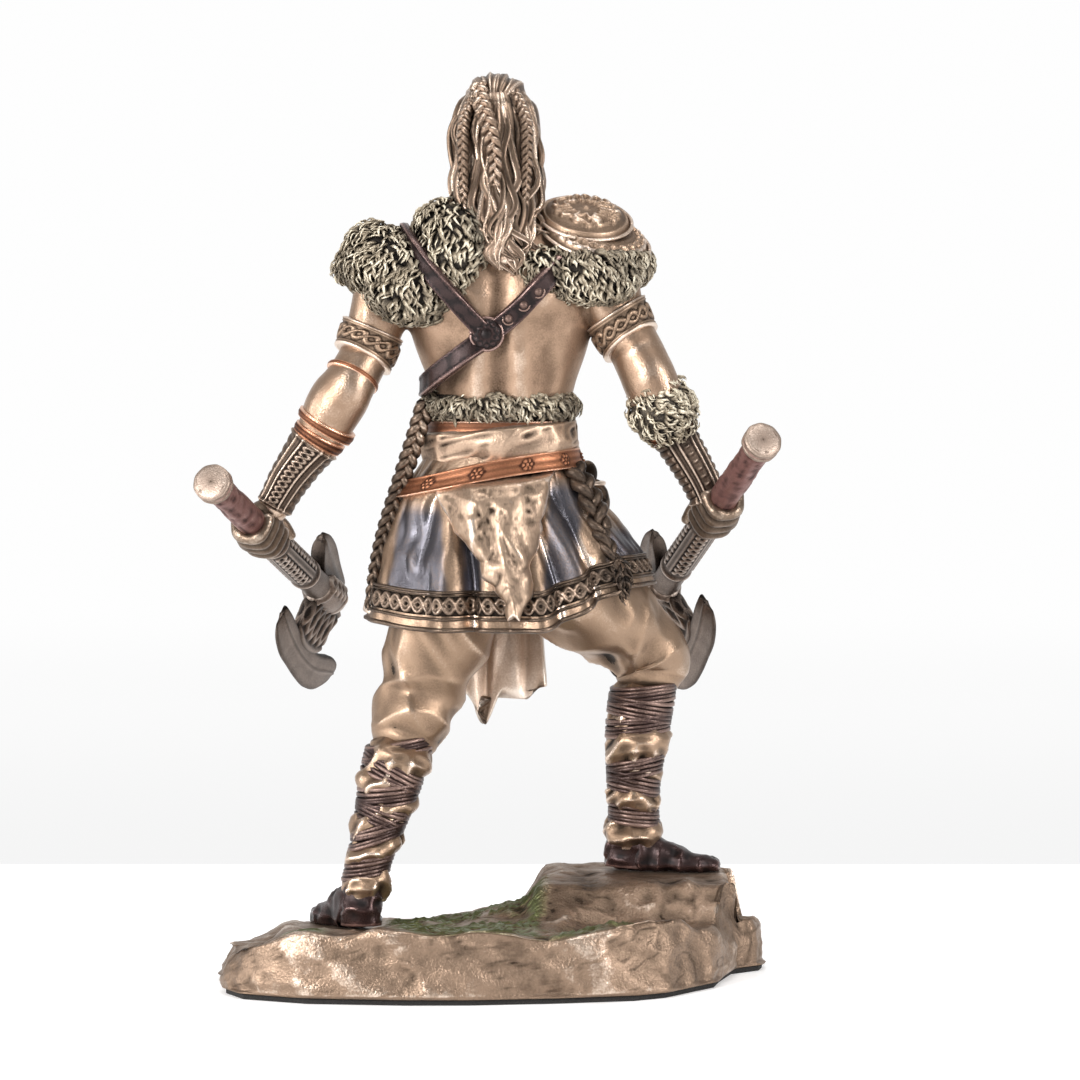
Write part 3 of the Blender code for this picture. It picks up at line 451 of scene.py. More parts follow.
def ramp(nodes, links, value, stops, colour=False):
    """A colour or a grey level that follows a value through (place, level) stops."""
    node = nodes.new("ShaderNodeValToRGB")
    node.color_ramp.interpolation = "EASE"
    links.new(value, node.inputs[0])
    while len(node.color_ramp.elements) < len(stops):
        node.color_ramp.elements.new(0.5)
    for element, (place, level) in zip(node.color_ramp.elements, stops):
        element.position = place
        element.color = (*level, 1) if colour else (level, level, level, 1)
    return node.outputs[0]


def attribute(nodes, name):
    node = nodes.new("ShaderNodeAttribute")
    node.attribute_name = name
    return node.outputs["Fac"]


def speckle(nodes, links, place, size, detail, stretch=None):
    """Noise with features of that size in millimetres."""
    node = nodes.new("ShaderNodeTexNoise")
    node.inputs["Scale"].default_value = 1000 / size
    node.inputs["Detail"].default_value = detail
    if stretch:
        mapping = nodes.new("ShaderNodeMapping")
        mapping.inputs["Scale"].default_value = stretch
        links.new(place, mapping.inputs[0])
        place = mapping.outputs[0]
    links.new(place, node.inputs["Vector"])
    return node.outputs["Fac"]


def raise_surface(nodes, links, shader, height, distance):
    bumps = nodes.new("ShaderNodeBump")
    bumps.inputs["Strength"].default_value = 1.0
    bumps.inputs["Distance"].default_value = distance
    links.new(height, bumps.inputs["Height"])
    links.new(bumps.outputs[0], shader.inputs["Normal"])


def wash(name, dark, middle, pale, metallic=0.85, rough=0.34, grain=0.35, depth=0.02, tint=None,
         levels=(0.18, 0.42, 0.66, 0.95), stretch=None, painted_shade=1.0):
    """Metal paint over a dark wash: pale where it stands proud, dark where it is sunk. The
    levels of relief run from pale to dark; tint is (attribute that says where, colour); the
    last argument sets how strongly painted shade darkens broad hollows and gaps between parts."""
    made, nodes, links, shader, place = new_material(name)
    fine = speckle(nodes, links, place, grain, 4.0, stretch)
    patches = speckle(nodes, links, place, 5.0, 3.0)
    sunk = attribute(nodes, "relief")
    sunk = maths(nodes, links, "MULTIPLY_ADD", maths(nodes, links, "SUBTRACT", fine, 0.5), 0.35, sunk)
    sunk = maths(nodes, links, "MULTIPLY_ADD", maths(nodes, links, "SUBTRACT", patches, 0.5), 0.2, sunk)
    dim = tuple(0.45 * m + 0.55 * d for m, d in zip(middle, dark))
    colour = ramp(nodes, links, sunk, list(zip(levels, (pale, middle, dim, dark))), colour=True)
    if tint:
        keep = ramp(nodes, links, sunk, [(0.45, 1.0), (0.8, 0.1)])
        share = maths(nodes, links, "MULTIPLY", attribute(nodes, tint[0]), keep)
        colour = mix(nodes, links, share, colour, tint[1])
    # Painted shade: the broad shade attribute darkens the colour in broad hollows and between parts.
    deep = ramp(nodes, links, attribute(nodes, "shade"), [(0.62, 0.0), (1.0, 0.75 * painted_shade)])
    colour = mix(nodes, links, deep, colour, tuple(0.6 * d for d in dark))
    links.new(colour, shader.inputs["Base Color"])
    shader.inputs["Metallic"].default_value = metallic
    gloss = ramp(nodes, links, sunk, [(0.2, rough * 0.85), (0.9, min(rough * 1.7, 0.8))])
    links.new(gloss, shader.inputs["Roughness"])
    raise_surface(nodes, links, shader, fine, depth * MM * 4)
    return made


DARK = (0.026, 0.016, 0.01)
BLACK_BROWN = (0.014, 0.009, 0.006)
CLOTH_TONE = (0.34, 0.23, 0.155)
PALE = (0.84, 0.68, 0.56)
BRONZE = wash("bronze", DARK, (0.4, 0.275, 0.19), PALE, painted_shade=0.5)
DARK_BRONZE = wash("bronze_bracer", (0.018, 0.012, 0.009), (0.185, 0.13, 0.095), (0.58, 0.46, 0.37),
                   rough=0.36)
SKIN = wash("bronze_skin", (0.06, 0.034, 0.02), (0.33, 0.22, 0.15), (0.74, 0.57, 0.45), grain=0.45,
            levels=(0.0, 0.47, 0.8, 1.15), painted_shade=0.3)
HAND_LOOK = wash("bronze_hand", (0.03, 0.02, 0.014), (0.18, 0.128, 0.092), (0.5, 0.4, 0.32), rough=0.4,
                 grain=0.5, levels=(0.0, 0.35, 0.65, 0.95))
HAIR = wash("bronze_hair", BLACK_BROWN, (0.27, 0.186, 0.132), (0.86, 0.7, 0.57), rough=0.32,
            levels=(0.06, 0.3, 0.48, 0.7), stretch=(3, 3, 0.6))
FUR_LOOK = wash("fur_wash", (0.016, 0.011, 0.008), (0.29, 0.235, 0.165), (0.86, 0.77, 0.6), metallic=0.35,
                rough=0.45, levels=(0.16, 0.4, 0.58, 0.78), painted_shade=0.6)
HIDE_LOOK = wash("hide_wash", DARK, (0.42, 0.3, 0.215), (0.92, 0.78, 0.67), rough=0.36, grain=0.5,
                 stretch=(1, 1, 0.4), painted_shade=0.6)
TAIL_LOOK = wash("tail_wash", (0.012, 0.008, 0.006), (0.16, 0.11, 0.078), (0.6, 0.47, 0.37), metallic=0.7,
                 rough=0.38, levels=(0.05, 0.3, 0.5, 0.75))
STRAP_LOOK = wash("strap_leather", (0.009, 0.005, 0.005), (0.05, 0.027, 0.025), (0.34, 0.22, 0.19),
                  metallic=0.6, rough=0.3, levels=(0.0, 0.25, 0.55, 0.85))
STUD_LOOK = wash("strap_stud", (0.03, 0.018, 0.015), (0.34, 0.22, 0.18), (0.8, 0.62, 0.52), metallic=0.8,
                 rough=0.3, painted_shade=0.2)
COPPER = wash("copper_belt", (0.05, 0.018, 0.01), (0.42, 0.175, 0.09), (0.88, 0.56, 0.4), rough=0.32)
CLOTH = wash("bronze_cloth", DARK, (0.35, 0.24, 0.165), PALE, rough=0.32, grain=0.5,
             tint=("panel", (0.092, 0.088, 0.1)), levels=(0.08, 0.4, 0.7, 1.0))
BORDER_LOOK = wash("border_knotwork", BLACK_BROWN, (0.2, 0.142, 0.104), (0.66, 0.54, 0.45),
                   levels=(0.06, 0.3, 0.46, 0.68))
PLAIN_CLOTH = wash("bronze_trousers", DARK, CLOTH_TONE, PALE, rough=0.32, grain=0.45,
                   levels=(-0.05, 0.5, 1.0, 1.5), painted_shade=0.5)
WRAP_LOOK = wash("bronze_wraps", DARK, CLOTH_TONE, PALE, rough=0.32, levels=(0.0, 0.4, 0.72, 1.0), painted_shade=0.6)
# Painted light: a lighter copy of the cloth paint, raised to make up for the shade that falls on the tabard
# between the legs, and left without painted shade.
TABARD_PAINTED_LIGHT = wash("bronze_tabard_painted_light", (0.07, 0.045, 0.032), (0.6, 0.44, 0.33), (0.97, 0.84, 0.73), metallic=0.6,
                   rough=0.4, grain=0.5, levels=(0.2, 0.6, 0.9, 1.2), painted_shade=0.0)
PALE_CLOTH = wash("bronze_wound_cloth", (0.05, 0.032, 0.022), (0.45, 0.32, 0.23), (0.95, 0.8, 0.68),
                  grain=0.5, levels=(0.1, 0.45, 0.75, 1.05), painted_shade=0.25)
CORD = wash("cord_wash", (0.009, 0.005, 0.004), (0.05, 0.027, 0.023), (0.26, 0.17, 0.14), metallic=0.6,
            rough=0.4, levels=(0.0, 0.25, 0.5, 0.8))
SHOE = wash("shoe_leather", (0.009, 0.005, 0.005), (0.055, 0.029, 0.027), (0.2, 0.12, 0.105), metallic=0.6,
            rough=0.26, levels=(-0.2, 0.25, 0.6, 0.95))
HAFT = wash("haft_leather", (0.05, 0.022, 0.019), (0.2, 0.095, 0.082), (0.42, 0.27, 0.23), metallic=0.6,
            rough=0.42, levels=(0.0, 0.45, 0.8, 1.1))
STEEL = wash("axe_head", (0.018, 0.013, 0.011), (0.24, 0.185, 0.152), (0.56, 0.46, 0.39), rough=0.36,
             levels=(0.0, 0.35, 0.6, 0.85))
PALE_METAL = wash("worn_metal", (0.1, 0.066, 0.046), (0.34, 0.26, 0.21), (0.6, 0.48, 0.4), rough=0.5)
STONE = wash("bronze_rock_wash", (0.04, 0.026, 0.017), (0.28, 0.193, 0.135), (0.8, 0.655, 0.54), grain=0.6,
             depth=0.06, tint=("moss", (0.16, 0.18, 0.075)), levels=(0.04, 0.4, 0.78, 1.15), painted_shade=0.15)


# Body. The tables are those of the part's source.

TORSO = [
    (2, 2, 84, 15, 11), (2, 2, 92, 18.4, 13.4), (1.5, 2, 104, 18, 13.5), (2, 2, 117, 17.4, 12.8),
    (2.1, 2, 126, 17, 12), (2.4, 1.2, 134, 18.4, 12.6), (2.4, 0.6, 144, 21.8, 14),
    (2.2, 0, 152, 23.4, 14.8), (1.8, 0, 160, 23.4, 14.2), (1.4, 0, 166, 21, 12.2),
    (1.2, 0, 172, 15, 9.5), (1, 0.4, 179, 8.6, 8), (0.8, 1.2, 186, 6.8, 7.2), (0.6, 2.5, 193, 6.8, 7.5),
]
LEFT_ARM = [
    (-17, 0, 164, 8, 9), (-24, -0.5, 160.5, 8.6, 9.6), (-28.4, -1.5, 151, 7.2, 8.2),
    (-30.4, -2, 144.7, 6.6, 7.3), (-33.5, -4.5, 137.2, 6.4, 6.9), (-36.2, -6, 132.6, 6.9, 7),
    (-38.5, -6, 129, 7.1, 6.8), (-42, -5, 122.2, 6.3, 6.2), (-47.4, -4.3, 114.5, 5, 5),
    (-50.6, -4.1, 109.7, 4.5, 4.4), (-53.2, -4, 105, 4, 3.8), (-54.8, -4, 102, 3.8, 3.6),
]
RIGHT_ARM = [
    (20, 0, 164, 8, 9), (26.4, -0.5, 160.5, 8.6, 9.6), (30.4, -1.5, 152, 7.3, 8.2),
    (33, -2, 147, 6.6, 7.3), (36.9, -4.5, 139.7, 6.4, 6.9), (39.2, -5.8, 134.7, 6.6, 7),
    (41.3, -5.6, 129.7, 6.5, 6.8), (43.6, -4, 124.7, 5.7, 6), (46.2, -2.5, 119.7, 4.7, 5.2),
    (49.2, -1.4, 114.7, 4.3, 4.8), (52, -0.5, 109.7, 4, 4.2), (54.2, 0, 105, 3.8, 3.8),
]
ARM_AIM = (0.8, 0, 0.6)
FACE_X = 0.6


def back_muscles(turn, along, points, outward):
    x, y, z = points[..., 0], points[..., 1], points[..., 2]
    behind, before = smooth(-y / 6), smooth(y / 6)
    side = abs(x - 1.8)
    spine = -1.3 * bump(side, 2.8) * smooth((z - 118) / 14) * smooth((172 - z) / 10)
    blade = 1.7 * np.exp(-(((side - 11) / 6) ** 2) - ((z - 157) / 8) ** 2)
    under = -0.6 * np.exp(-(((side - 12) / 6) ** 2) - ((z - 146.5 - 0.25 * side) / 3.4) ** 2)
    loin = 1.3 * np.exp(-(((side - 5.4) / 3.2) ** 2) - ((z - 133) / 12) ** 2)
    flank = -0.7 * np.exp(-(((side - 12.5) / 2.2) ** 2) - ((z - 136) / 9) ** 2)
    chest = 1.9 * np.exp(-(((side - 10) / 8) ** 2) - ((z - 157) / 7) ** 2)
    belly = 0.9 * bump(side - 4.6, 3) * abs(np.sin((z - 118) / 8.5 * math.pi)) * smooth((150 - z) / 6)
    rise = behind * (spine + blade + under + loin + flank) + before * (chest + belly)
    return points + outward * rise[..., None]


def arm_muscles(turn, along, points, outward):
    rise = 0.5 * np.sin(2 * turn + 0.6) * bump(along - 0.45, 0.18)
    rise = rise - 0.5 * bump(along - 0.4, 0.012) * smooth(np.cos(turn - 2.0))
    rise = rise + 0.45 * np.sin(3 * turn + 6 * along) * bump(along - 0.25, 0.16)
    return points + outward * rise[..., None]


def on_face(spots, side=1):
    """Points given from the middle line of the face, on one side or mirrored."""
    return [(FACE_X + x * side, y, z) for x, y, z in spots]


def skin_forms():
    yield loft(TORSO, 120, 110, relief=back_muscles)
    for arm in (LEFT_ARM, RIGHT_ARM):
        yield loft(arm, 110, 44, aim=ARM_AIM, relief=arm_muscles)
    yield ball((FACE_X, 4.2, 195.5), (8.6, 10.2, 12.4), rings=50, sides=60)
    yield ball((FACE_X, 4.8, 190.5), (7.3, 8.6, 8.2), rings=40, sides=50)
    brows = [(-6.4, 10.8, 198.4), (-3, 13.2, 199), (0, 13.5, 198.5), (3, 13.2, 199), (6.4, 10.8, 198.4)]
    yield tube(on_face(brows), (0.6, 1.15, 0.9, 1.15, 0.6), 30)
    yield tube(on_face([(0, 12.6, 199), (0, 14.4, 195.6), (0, 15.7, 192.9)]), (0.9, 1.1, 1.45), 24, 12)
    yield ball((FACE_X, 14.4, 192.2), (2.1, 1.5, 1.1))
    yield tube(on_face([(-2.1, 13.7, 189.2), (0, 14.3, 189), (2.1, 13.7, 189.2)]), (0.4, 0.8, 0.4), 12)
    for side in (-1, 1):
        for spot, radii in (((4.9, 11, 193.2), (2.5, 2.2, 2.1)), ((3.4, 12.1, 196.4), (1.5, 1.5, 1.3)),
                            ((8.3, 3.6, 194.6), (1.3, 2, 3.1))):
            yield ball(on_face([spot], side)[0], radii)


def skin_carve(points):
    """Shallow unevenness of cast and brushed skin."""
    away = smooth((176 - points[:, 2]) / 4)
    return away * (0.1 * noise(points, 7.0, 3) + 0.05 * noise(points, 2.2, 4))


# Hair and beard

HAIR_MASS = [
    (0.9, 4.2, 208, 5.8, 7.2), (0.9, 3.4, 203.8, 8.4, 10.2), (0.9, 2.2, 198, 9.0, 10.6),
    (0.9, 0.4, 190, 9.4, 9.2), (1, -2, 183, 9.4, 7.4), (1.2, -6, 176.5, 9, 5.2),
    (2.2, -10, 170, 6.8, 3.8), (3.6, -13, 164.5, 4, 2.4),
]


def hair_paths(count, seed, lift, sway):
    """Guide curves from the crown over the back of the head to their tips."""
    random = np.random.default_rng(seed)
    for k in range(count):
        f = ((k + random.uniform(0.2, 0.8)) / count) * 2 - 1
        reach = 0.97 + 0.05 * math.cos(5.1 * k) + 0.03 * lift
        tip = 161 + 6.5 * abs(f - 0.25) ** 1.2 + random.uniform(-2.5, 7)
        wave, phase = sway * random.uniform(0.6, 1.2), random.uniform(0, TAU)
        side = [wave * math.sin(phase + 1.9 * i) for i in range(8)]
        x = 0.9 + 9.5 * math.sin(f * 1.5) * reach
        back = -9.2 * math.cos(f * 1.45)
        yield [
            (0.6 + 3.4 * f, 2.5 - 1.5 * math.cos(f * 1.4), 208.0 - 1.4 * f * f + 0.3 * lift),
            (0.9 + 8.4 * f, 0.5 + back * 0.74, 203.8 - 1.6 * f * f),
            (x + 0.4 * side[0], 3.6 + back * 1.12 - 0.4 * lift, 196.6),
            (x * 1.02 + 0.2 + 0.6 * side[1], 2.8 + back * 1.18 - 0.5 * lift, 190),
            (x * 1.0 + 0.3 + 0.8 * side[2], 1.8 + back * 1.2 - 0.5 * lift, 183.6),
            (x * 0.95 + 0.5 + 1.2 * side[3], -0.4 + back * 1.22 - 0.4 * lift, 177.6),
            (x * 0.83 + 1.4 + 1.3 * side[4], -3 + back * 1.18 - 0.2 * lift, 0.6 * 176.6 + 0.4 * tip),
            (x * 0.76 + 2.0 + 1.8 * side[5], -4.2 + back * 1.15, 0.25 * 176.6 + 0.75 * tip),
            (x * 0.8 + 2.2 + 2.0 * side[6], -4.7 + back * 1.13, tip),
        ]


LOCK_SIDES = 12
LOCK_GROOVES = 4


def lock(path, radius, rings):
    """A lock of hair: a tapered tube with fine grooves that follow it."""
    seed = int(abs(path[0][0]) * 1000 + len(path) * 7 + abs(path[-1][2]) * 31) % 99991
    random = np.random.default_rng(seed)
    phase, twist = random.uniform(0, TAU), random.uniform(-3, 3)
    rows = [(*p, r, r * 0.8) for p, r in zip(path, radius, strict=True)]
    aim = (0, 0, 1) if abs(path[0][2] - path[-1][2]) < 12 else (1, 0, 0)

    def strands(turn, along, points, outward):
        deep = 0.17 * np.cos(LOCK_GROOVES * turn + phase + twist * along)
        deep = deep + 0.08 * np.cos(3 * turn - 2 * phase)
        size = np.interp(along[:, :1], np.linspace(0, 1, len(radius)), radius)
        return points + outward * (size * deep)[..., None]

    form = loft(rows, rings, LOCK_SIDES, aim, relief=strands)
    turn, along = np.meshgrid(angles(LOCK_SIDES), np.linspace(0, 1, rings + 6))
    own = 0.5 - 0.32 * np.cos(LOCK_GROOVES * turn + phase + twist * along) + random.uniform(-0.16, 0.16)
    return (*form, np.concatenate([own.ravel(), [0.5, 0.5]]))


def braid(path, width, crossings, tone, rings=72):
    """Three plaited strands; each goes over the others outwards and comes back under them."""
    sides = 8
    points = spline(path, rings)
    tangent = unit(np.gradient(points, axis=0))
    across = unit(np.cross(tangent, unit(points - np.array([1.0, 4.0, 190.0]))))
    outward = np.cross(across, tangent)
    taper = 1 - 0.45 * np.linspace(0, 1, rings)[:, None] ** 3
    for k in range(3):
        phase = (np.linspace(0, crossings * TAU, rings) + k * TAU / 3)[:, None]
        swing = across * (0.74 * width * np.sin(phase)) + outward * (0.34 * width * np.sin(2 * phase))
        form = tube(points + taper * swing, 0.5 * width * taper[:, 0], rings, sides)
        depth = np.pad(0.22 * np.sin(2 * phase[:, 0]), 3, mode="edge")[:, None]
        own = tone - depth + 0.16 * np.cos(4 * angles(sides))[None]
        yield (*form, np.concatenate([own.ravel(), [tone, tone]]))


def hair_forms():
    random = np.random.default_rng(8)
    yield loft([(x, y, z - 0.6, 0.93 * a, 0.93 * b) for x, y, z, a, b in HAIR_MASS], 60, 60, dome=0.4)
    for layer, (count, size, sway) in enumerate(((21, 1.85, 0.9), (17, 1.35, 1.5), (13, 0.95, 2.0))):
        for path in hair_paths(count, 20 + layer, 1.6 * layer, sway):
            w = size * random.uniform(0.8, 1.15)
            yield lock(path, (0.7 * w, w, w, w, w, 0.95 * w, 0.85 * w, 0.6 * w, 0.12 * w), 36)
    for k in range(13):
        f = k / 6 - 1
        lift = 2.6 * f * f
        sway = random.uniform(-0.8, 0.8)
        lift += random.uniform(-0.7, 0.5)
        path = [(0.9 + 7.2 * f, 13.2 - 3.6 * f * f, 203.6 - 2.6 * f * f),
                (1 + 6.4 * f + sway, 9.8 - 2.6 * f * f, 207.4 - lift), (1 + 5.6 * f - sway, 2, 209.3 - lift),
                (1 + 4.4 * f, -3.2, 207.6 - 0.8 * lift), (0.6 + 2.0 * f, -7.2, 202.6)]
        yield lock(path, (0.5, 1.35, 1.55, 1.4, 0.5), 22)


def braid_forms():
    for side in (-1, 1):
        yield from braid([(0.9 + side * 4.4, -3.2, 206.2), (0.9 + side * 7.4, -7.0, 199.5),
                          (0.9 + side * 7.9, -9.2, 190), (0.9 + side * 7.4, -10.6, 178)], 1.5, 5, 0.46)
    yield from braid([(-3.4, -4.2, 207.6), (-1.8, -10.0, 200.8), (0, -12.4, 195), (1, -13.2, 189),
                      (0.8, -14.2, 182.5)], 2.0, 3.7, 0.44)


def face_forms():
    """Closed lids with their lash lines, finer than the skin's grid."""
    for side in (-1, 1):
        x, y, z = FACE_X + 3.6 * side, 13.0, 196.2
        yield toned(ball((x, y, z), (1.9, 1.35, 1.3), rings=18, sides=26), 0.35)
        for rise, sag, size, tone in ((-0.5, 0.45, 0.22, 1.1), (1.05, -0.1, 0.2, 0.95)):
            line = []
            for k in (-1.7, -0.9, 0, 0.9, 1.7):
                bulge = math.sqrt(max(1 - (k / 2.1) ** 2 - (rise / 1.7) ** 2, 0.02))
                line.append((x + k, y + 1.36 * bulge, z + rise + sag * (k / 1.8) ** 2 * 0.8))
            yield toned(tube(line, (0.08, size, size, size, 0.08), 18, 6), tone)


def beard_forms():
    random = np.random.default_rng(5)
    yield loft([(FACE_X, 8.2, 191, 7.8, 4.4), (FACE_X, 10.2, 186, 6.9, 4.6), (FACE_X, 12, 180, 4.6, 3.8),
                (FACE_X, 13, 174.6, 2, 1.8)], 30, 30)
    for k in range(46):
        f = (k + 0.5) / 23 - 1
        if k % 2:
            f *= 0.72
        tip = 172.5 + 8 * abs(f) ** 1.5 + random.uniform(-1, 2)
        sway = random.uniform(-0.8, 0.8)
        yield tube(on_face([
            (8.2 * math.sin(f * 1.45), 6.2 + 7.4 * math.cos(f * 1.45), 189.2 + 3.6 * abs(f) ** 2),
            (7.4 * math.sin(f * 1.4) + sway, 7.6 + 7.6 * math.cos(f * 1.3), 185.4),
            (4.8 * math.sin(f * 1.3) - sway, 9.6 + 6.8 * math.cos(f * 1.2), 0.5 * (185 + tip)),
            (1.8 * f + 0.6 * sway, 11.6 + 3 * math.cos(f), tip),
        ]), (0.6, 1.0, 0.9, 0.2), 16, 6)
    # Moustache and eyebrows
    for side in (-1, 1):
        for k in range(5):
            yield tube(on_face([
                (0.2, 15 - 0.25 * k, 190.8 - 0.3 * k), (2.6, 14.6 - 0.2 * k, 190 - 0.5 * k),
                (4.8, 13.2, 187.4 - 0.5 * k), (5.6, 12.2, 183.8 - 0.6 * k),
            ], side), (0.4, 0.75, 0.65, 0.15), 14, 6)
        for k in range(4):
            yield tube(on_face([
                (1.2 + 0.5 * k, 13.9, 199.4), (3.2 + 0.6 * k, 13.6 - 0.3 * k, 200.1),
                (5.4 + 0.3 * k, 12.0 - 0.3 * k, 199.2),
            ], side), (0.25, 0.42, 0.12), 10, 6)


# Fur

FUR = [
    ((-24, -1, 163), (13.6, 14.6, 8.8), (0, 6, 0)), ((-29, -4.5, 167.6), (6.4, 7, 5.6), (0, -14, 30)),
    ((-34.6, -3, 162.6), (3.6, 4.5, 3), (0, -10, 0)), ((-19.5, -9.6, 157.4), (11.5, 6.6, 8), (0, 8, 0)),
    ((-10, -10.6, 164.6), (8.4, 6, 13), (0, 16, 0)), ((-11.6, -6, 172.6), (7.4, 6.6, 6), (0, -20, 0)),
    ((-18, 9.5, 160.5), (12, 6.4, 8.6), (0, 0, 0)), ((25, -0.5, 163), (14.2, 15, 7.8), (0, -4, 0)),
    ((24, -9.6, 160.2), (11.5, 7.4, 6.2), (0, 2, 0)), ((13, -10, 161.5), (6.4, 5.6, 5.4), (0, -14, 0)),
    ((19.5, 9.5, 160.5), (12, 6.4, 8.6), (0, 0, 0)),
]


def swirl(points, size, seed):
    """A wandering direction for each point."""
    return np.stack([noise(points, size, seed + k) for k in range(3)], 1)


def tufts(roots, normals, ways, length, width, seed, lift, curl=0.5):
    """Short bent locks: each starts at a root, leans along its way and lifts off the surface."""
    rings, sides = 5, 3
    random = np.random.default_rng(seed)
    count = len(roots)
    ways = unit(ways - (ways * normals).sum(1, keepdims=True) * normals)
    across = np.cross(ways, normals)
    long = length * random.uniform(0.65, 1.25, (count, 1))
    thick = width * random.uniform(0.7, 1.25, (count, 1))
    swing = curl * random.normal(size=(count, 1))
    t = np.linspace(0, 1, rings)[None, :, None]
    centre = (roots - normals * 0.5)[:, None] + (
        ways[:, None] * (long[:, None] * t)
        + normals[:, None] * (long * lift)[:, None] * np.sin(math.pi * 0.85 * t)
        + across[:, None] * (long * swing)[:, None] * t * (1 - 0.3 * t) * 0.7
        + across[:, None] * (0.18 * long)[:, None] * np.sin(5 * t + 6 * swing[:, None])
    )
    along = unit(np.gradient(centre, axis=1))
    flat = unit(np.cross(along, normals[:, None] + 0 * along))
    rise = np.cross(flat, along)
    turn = angles(sides)
    taper = (0.75 + 0.5 * t) * (1 - 0.93 * t**2.2)
    points = centre[:, :, None] + thick[:, None, None] * taper[..., None] * (
        flat[:, :, None] * np.cos(turn)[:, None] * 0.62 + rise[:, :, None] * np.sin(turn)[:, None] * 0.42)
    quads = rows_of_quads(rings, sides)
    size = rings * sides
    quads = (quads[None] + (np.arange(count) * size)[:, None, None]).reshape(-1, 4)
    j = np.arange(1, sides - 1)
    fan = np.concatenate([
        np.stack([0 * j, j + 1, j], -1),
        np.stack([0 * j, j, j + 1], -1) + (rings - 1) * sides,
    ])
    fan = (fan[None] + (np.arange(count) * size)[:, None, None]).reshape(-1, 3)
    own = 0.98 - 0.9 * smooth(t / 0.45)[..., None] * (0.62 + 0.38 * np.sin(turn)) + 0 * thick[:, None, None]
    own = own + random.uniform(-0.12, 0.12, (count, 1, 1, 1))
    return points.reshape(-1, 3), quads, fan, own.ravel()


def fur_roots(count, seed):
    random = np.random.default_rng(seed)
    weight = np.array([np.prod(r) ** (2 / 3) for _, r, _ in FUR])
    roots, normals = [], []
    for (centre, radii, turn), share in zip(FUR, weight / weight.sum()):
        way = unit(random.normal(size=(int(count * share), 3)))
        matrix = turned(*turn)
        p = (way * radii) @ matrix.T + centre
        n = unit((way / radii) @ matrix.T)
        keep = np.ones(len(p), bool)
        for c, r, t in FUR:
            if c != centre:
                q = ((p - c) @ turned(*t)) / r
                keep &= (q**2).sum(1) > 0.94
        inside = ((p - np.array([1.6, 0, 158])) / np.array([22, 13.4, 20])) ** 2
        keep &= inside.sum(1) > 0.9
        keep &= ~((p[:, 0] > 9) & (p[:, 2] > 167.2) & (p[:, 1] > -13.5))
        roots.append(p[keep])
        normals.append(n[keep])
    return np.concatenate(roots), np.concatenate(normals)


def fur_forms():
    for centre, radii, turn in FUR:
        yield toned(ball(centre, np.array(radii) * 0.95, turn, 26, 36), 1.1)
    roots, normals = fur_roots(7400, 31)
    axis = np.where(roots[:, :1] > 1, 14.0, -12.0)
    out = unit(np.concatenate([roots[:, :1] - axis, roots[:, 1:2] * 0.8, 0 * axis], 1))
    ways = np.array([0, 0, -1.0]) + out * 0.55 + swirl(roots, 6, 41) * 0.6
    yield tufts(roots, normals, ways, 3.4, 1.1, 33, lift=0.42, curl=0.34)


def loft_roots(form, count, seed):
    """Random points of a form's surface, with its outward directions."""
    random = np.random.default_rng(seed)
    points, quads, _ = form
    a, b, c, d = (points[quads[:, k]] for k in range(4))
    normal = np.cross(c - a, d - b)
    size = np.linalg.norm(normal, axis=1)
    pick = random.choice(len(quads), count, p=size / size.sum())
    u, v = random.uniform(size=(2, count, 1))
    spot = (a[pick] * (1 - u) + b[pick] * u) * (1 - v) + (d[pick] * (1 - u) + c[pick] * u) * v
    way = unit(normal[pick])
    middle = points.mean(0)
    if ((spot - middle) * way).sum() < 0:
        way = -way
    return spot, way


def trim(form, count, seed, way, size, swirl_seed):
    """A dark form with tufts all over it."""
    yield toned(form, 1.1)
    roots, normals = loft_roots(form, count, seed)
    ways = np.array(way) + 0.9 * swirl(roots, size, swirl_seed)
    yield tufts(roots, normals, ways, 3.0, 1.0, seed + 1, lift=0.45)


def trim_forms():
    """Fur at the waist and the cuff on the right arm."""
    waist = loft([(1.8, 1.6, 125.2, 16.6, 11.8), (1.8, 1.6, 126.6, 18.6, 13.6), (1.8, 1.6, 129, 19.1, 13.9),
                  (1.8, 1.6, 131.2, 17.4, 12.2)], 12, 70, dome=0)
    yield from trim(waist, 1250, 51, (0, 0, -0.4), 5, 1)
    cuff = loft([(41, -5.4, 131.6, 6.6, 7.2), (42, -5, 128.4, 7.7, 8.3), (43, -4.4, 125.6, 7.6, 8),
                 (44.2, -3.6, 122.6, 6, 6.6)], 12, 30, aim=ARM_AIM)
    yield from trim(cuff, 640, 53, (0.3, 0, -0.6), 4, 4)


def tail_forms():
    """The dark twisted tail that hangs beside the hide."""
    yield from braid([(20.4, -5, 113), (23.4, -7.2, 108), (25.6, -9, 103), (27, -11, 97.6), (29.6, -12.6, 92),
                      (31.4, -13.8, 87.6)], 2.8, 2.2, 0.6, rings=70)
    tuft = loft([(30.6, -13.2, 90, 1.6, 1.4), (31.6, -13.8, 87, 2, 1.8), (32.4, -14.6, 83, 0.6, 0.6)], 20, 20)
    yield tuft
    roots, normals = loft_roots(tuft, 60, 55)
    yield tufts(roots, normals, np.array([0.25, 0, -1]) + 0 * roots, 3.6, 0.9, 56, lift=0.25)


# Plates, straps and arm gear


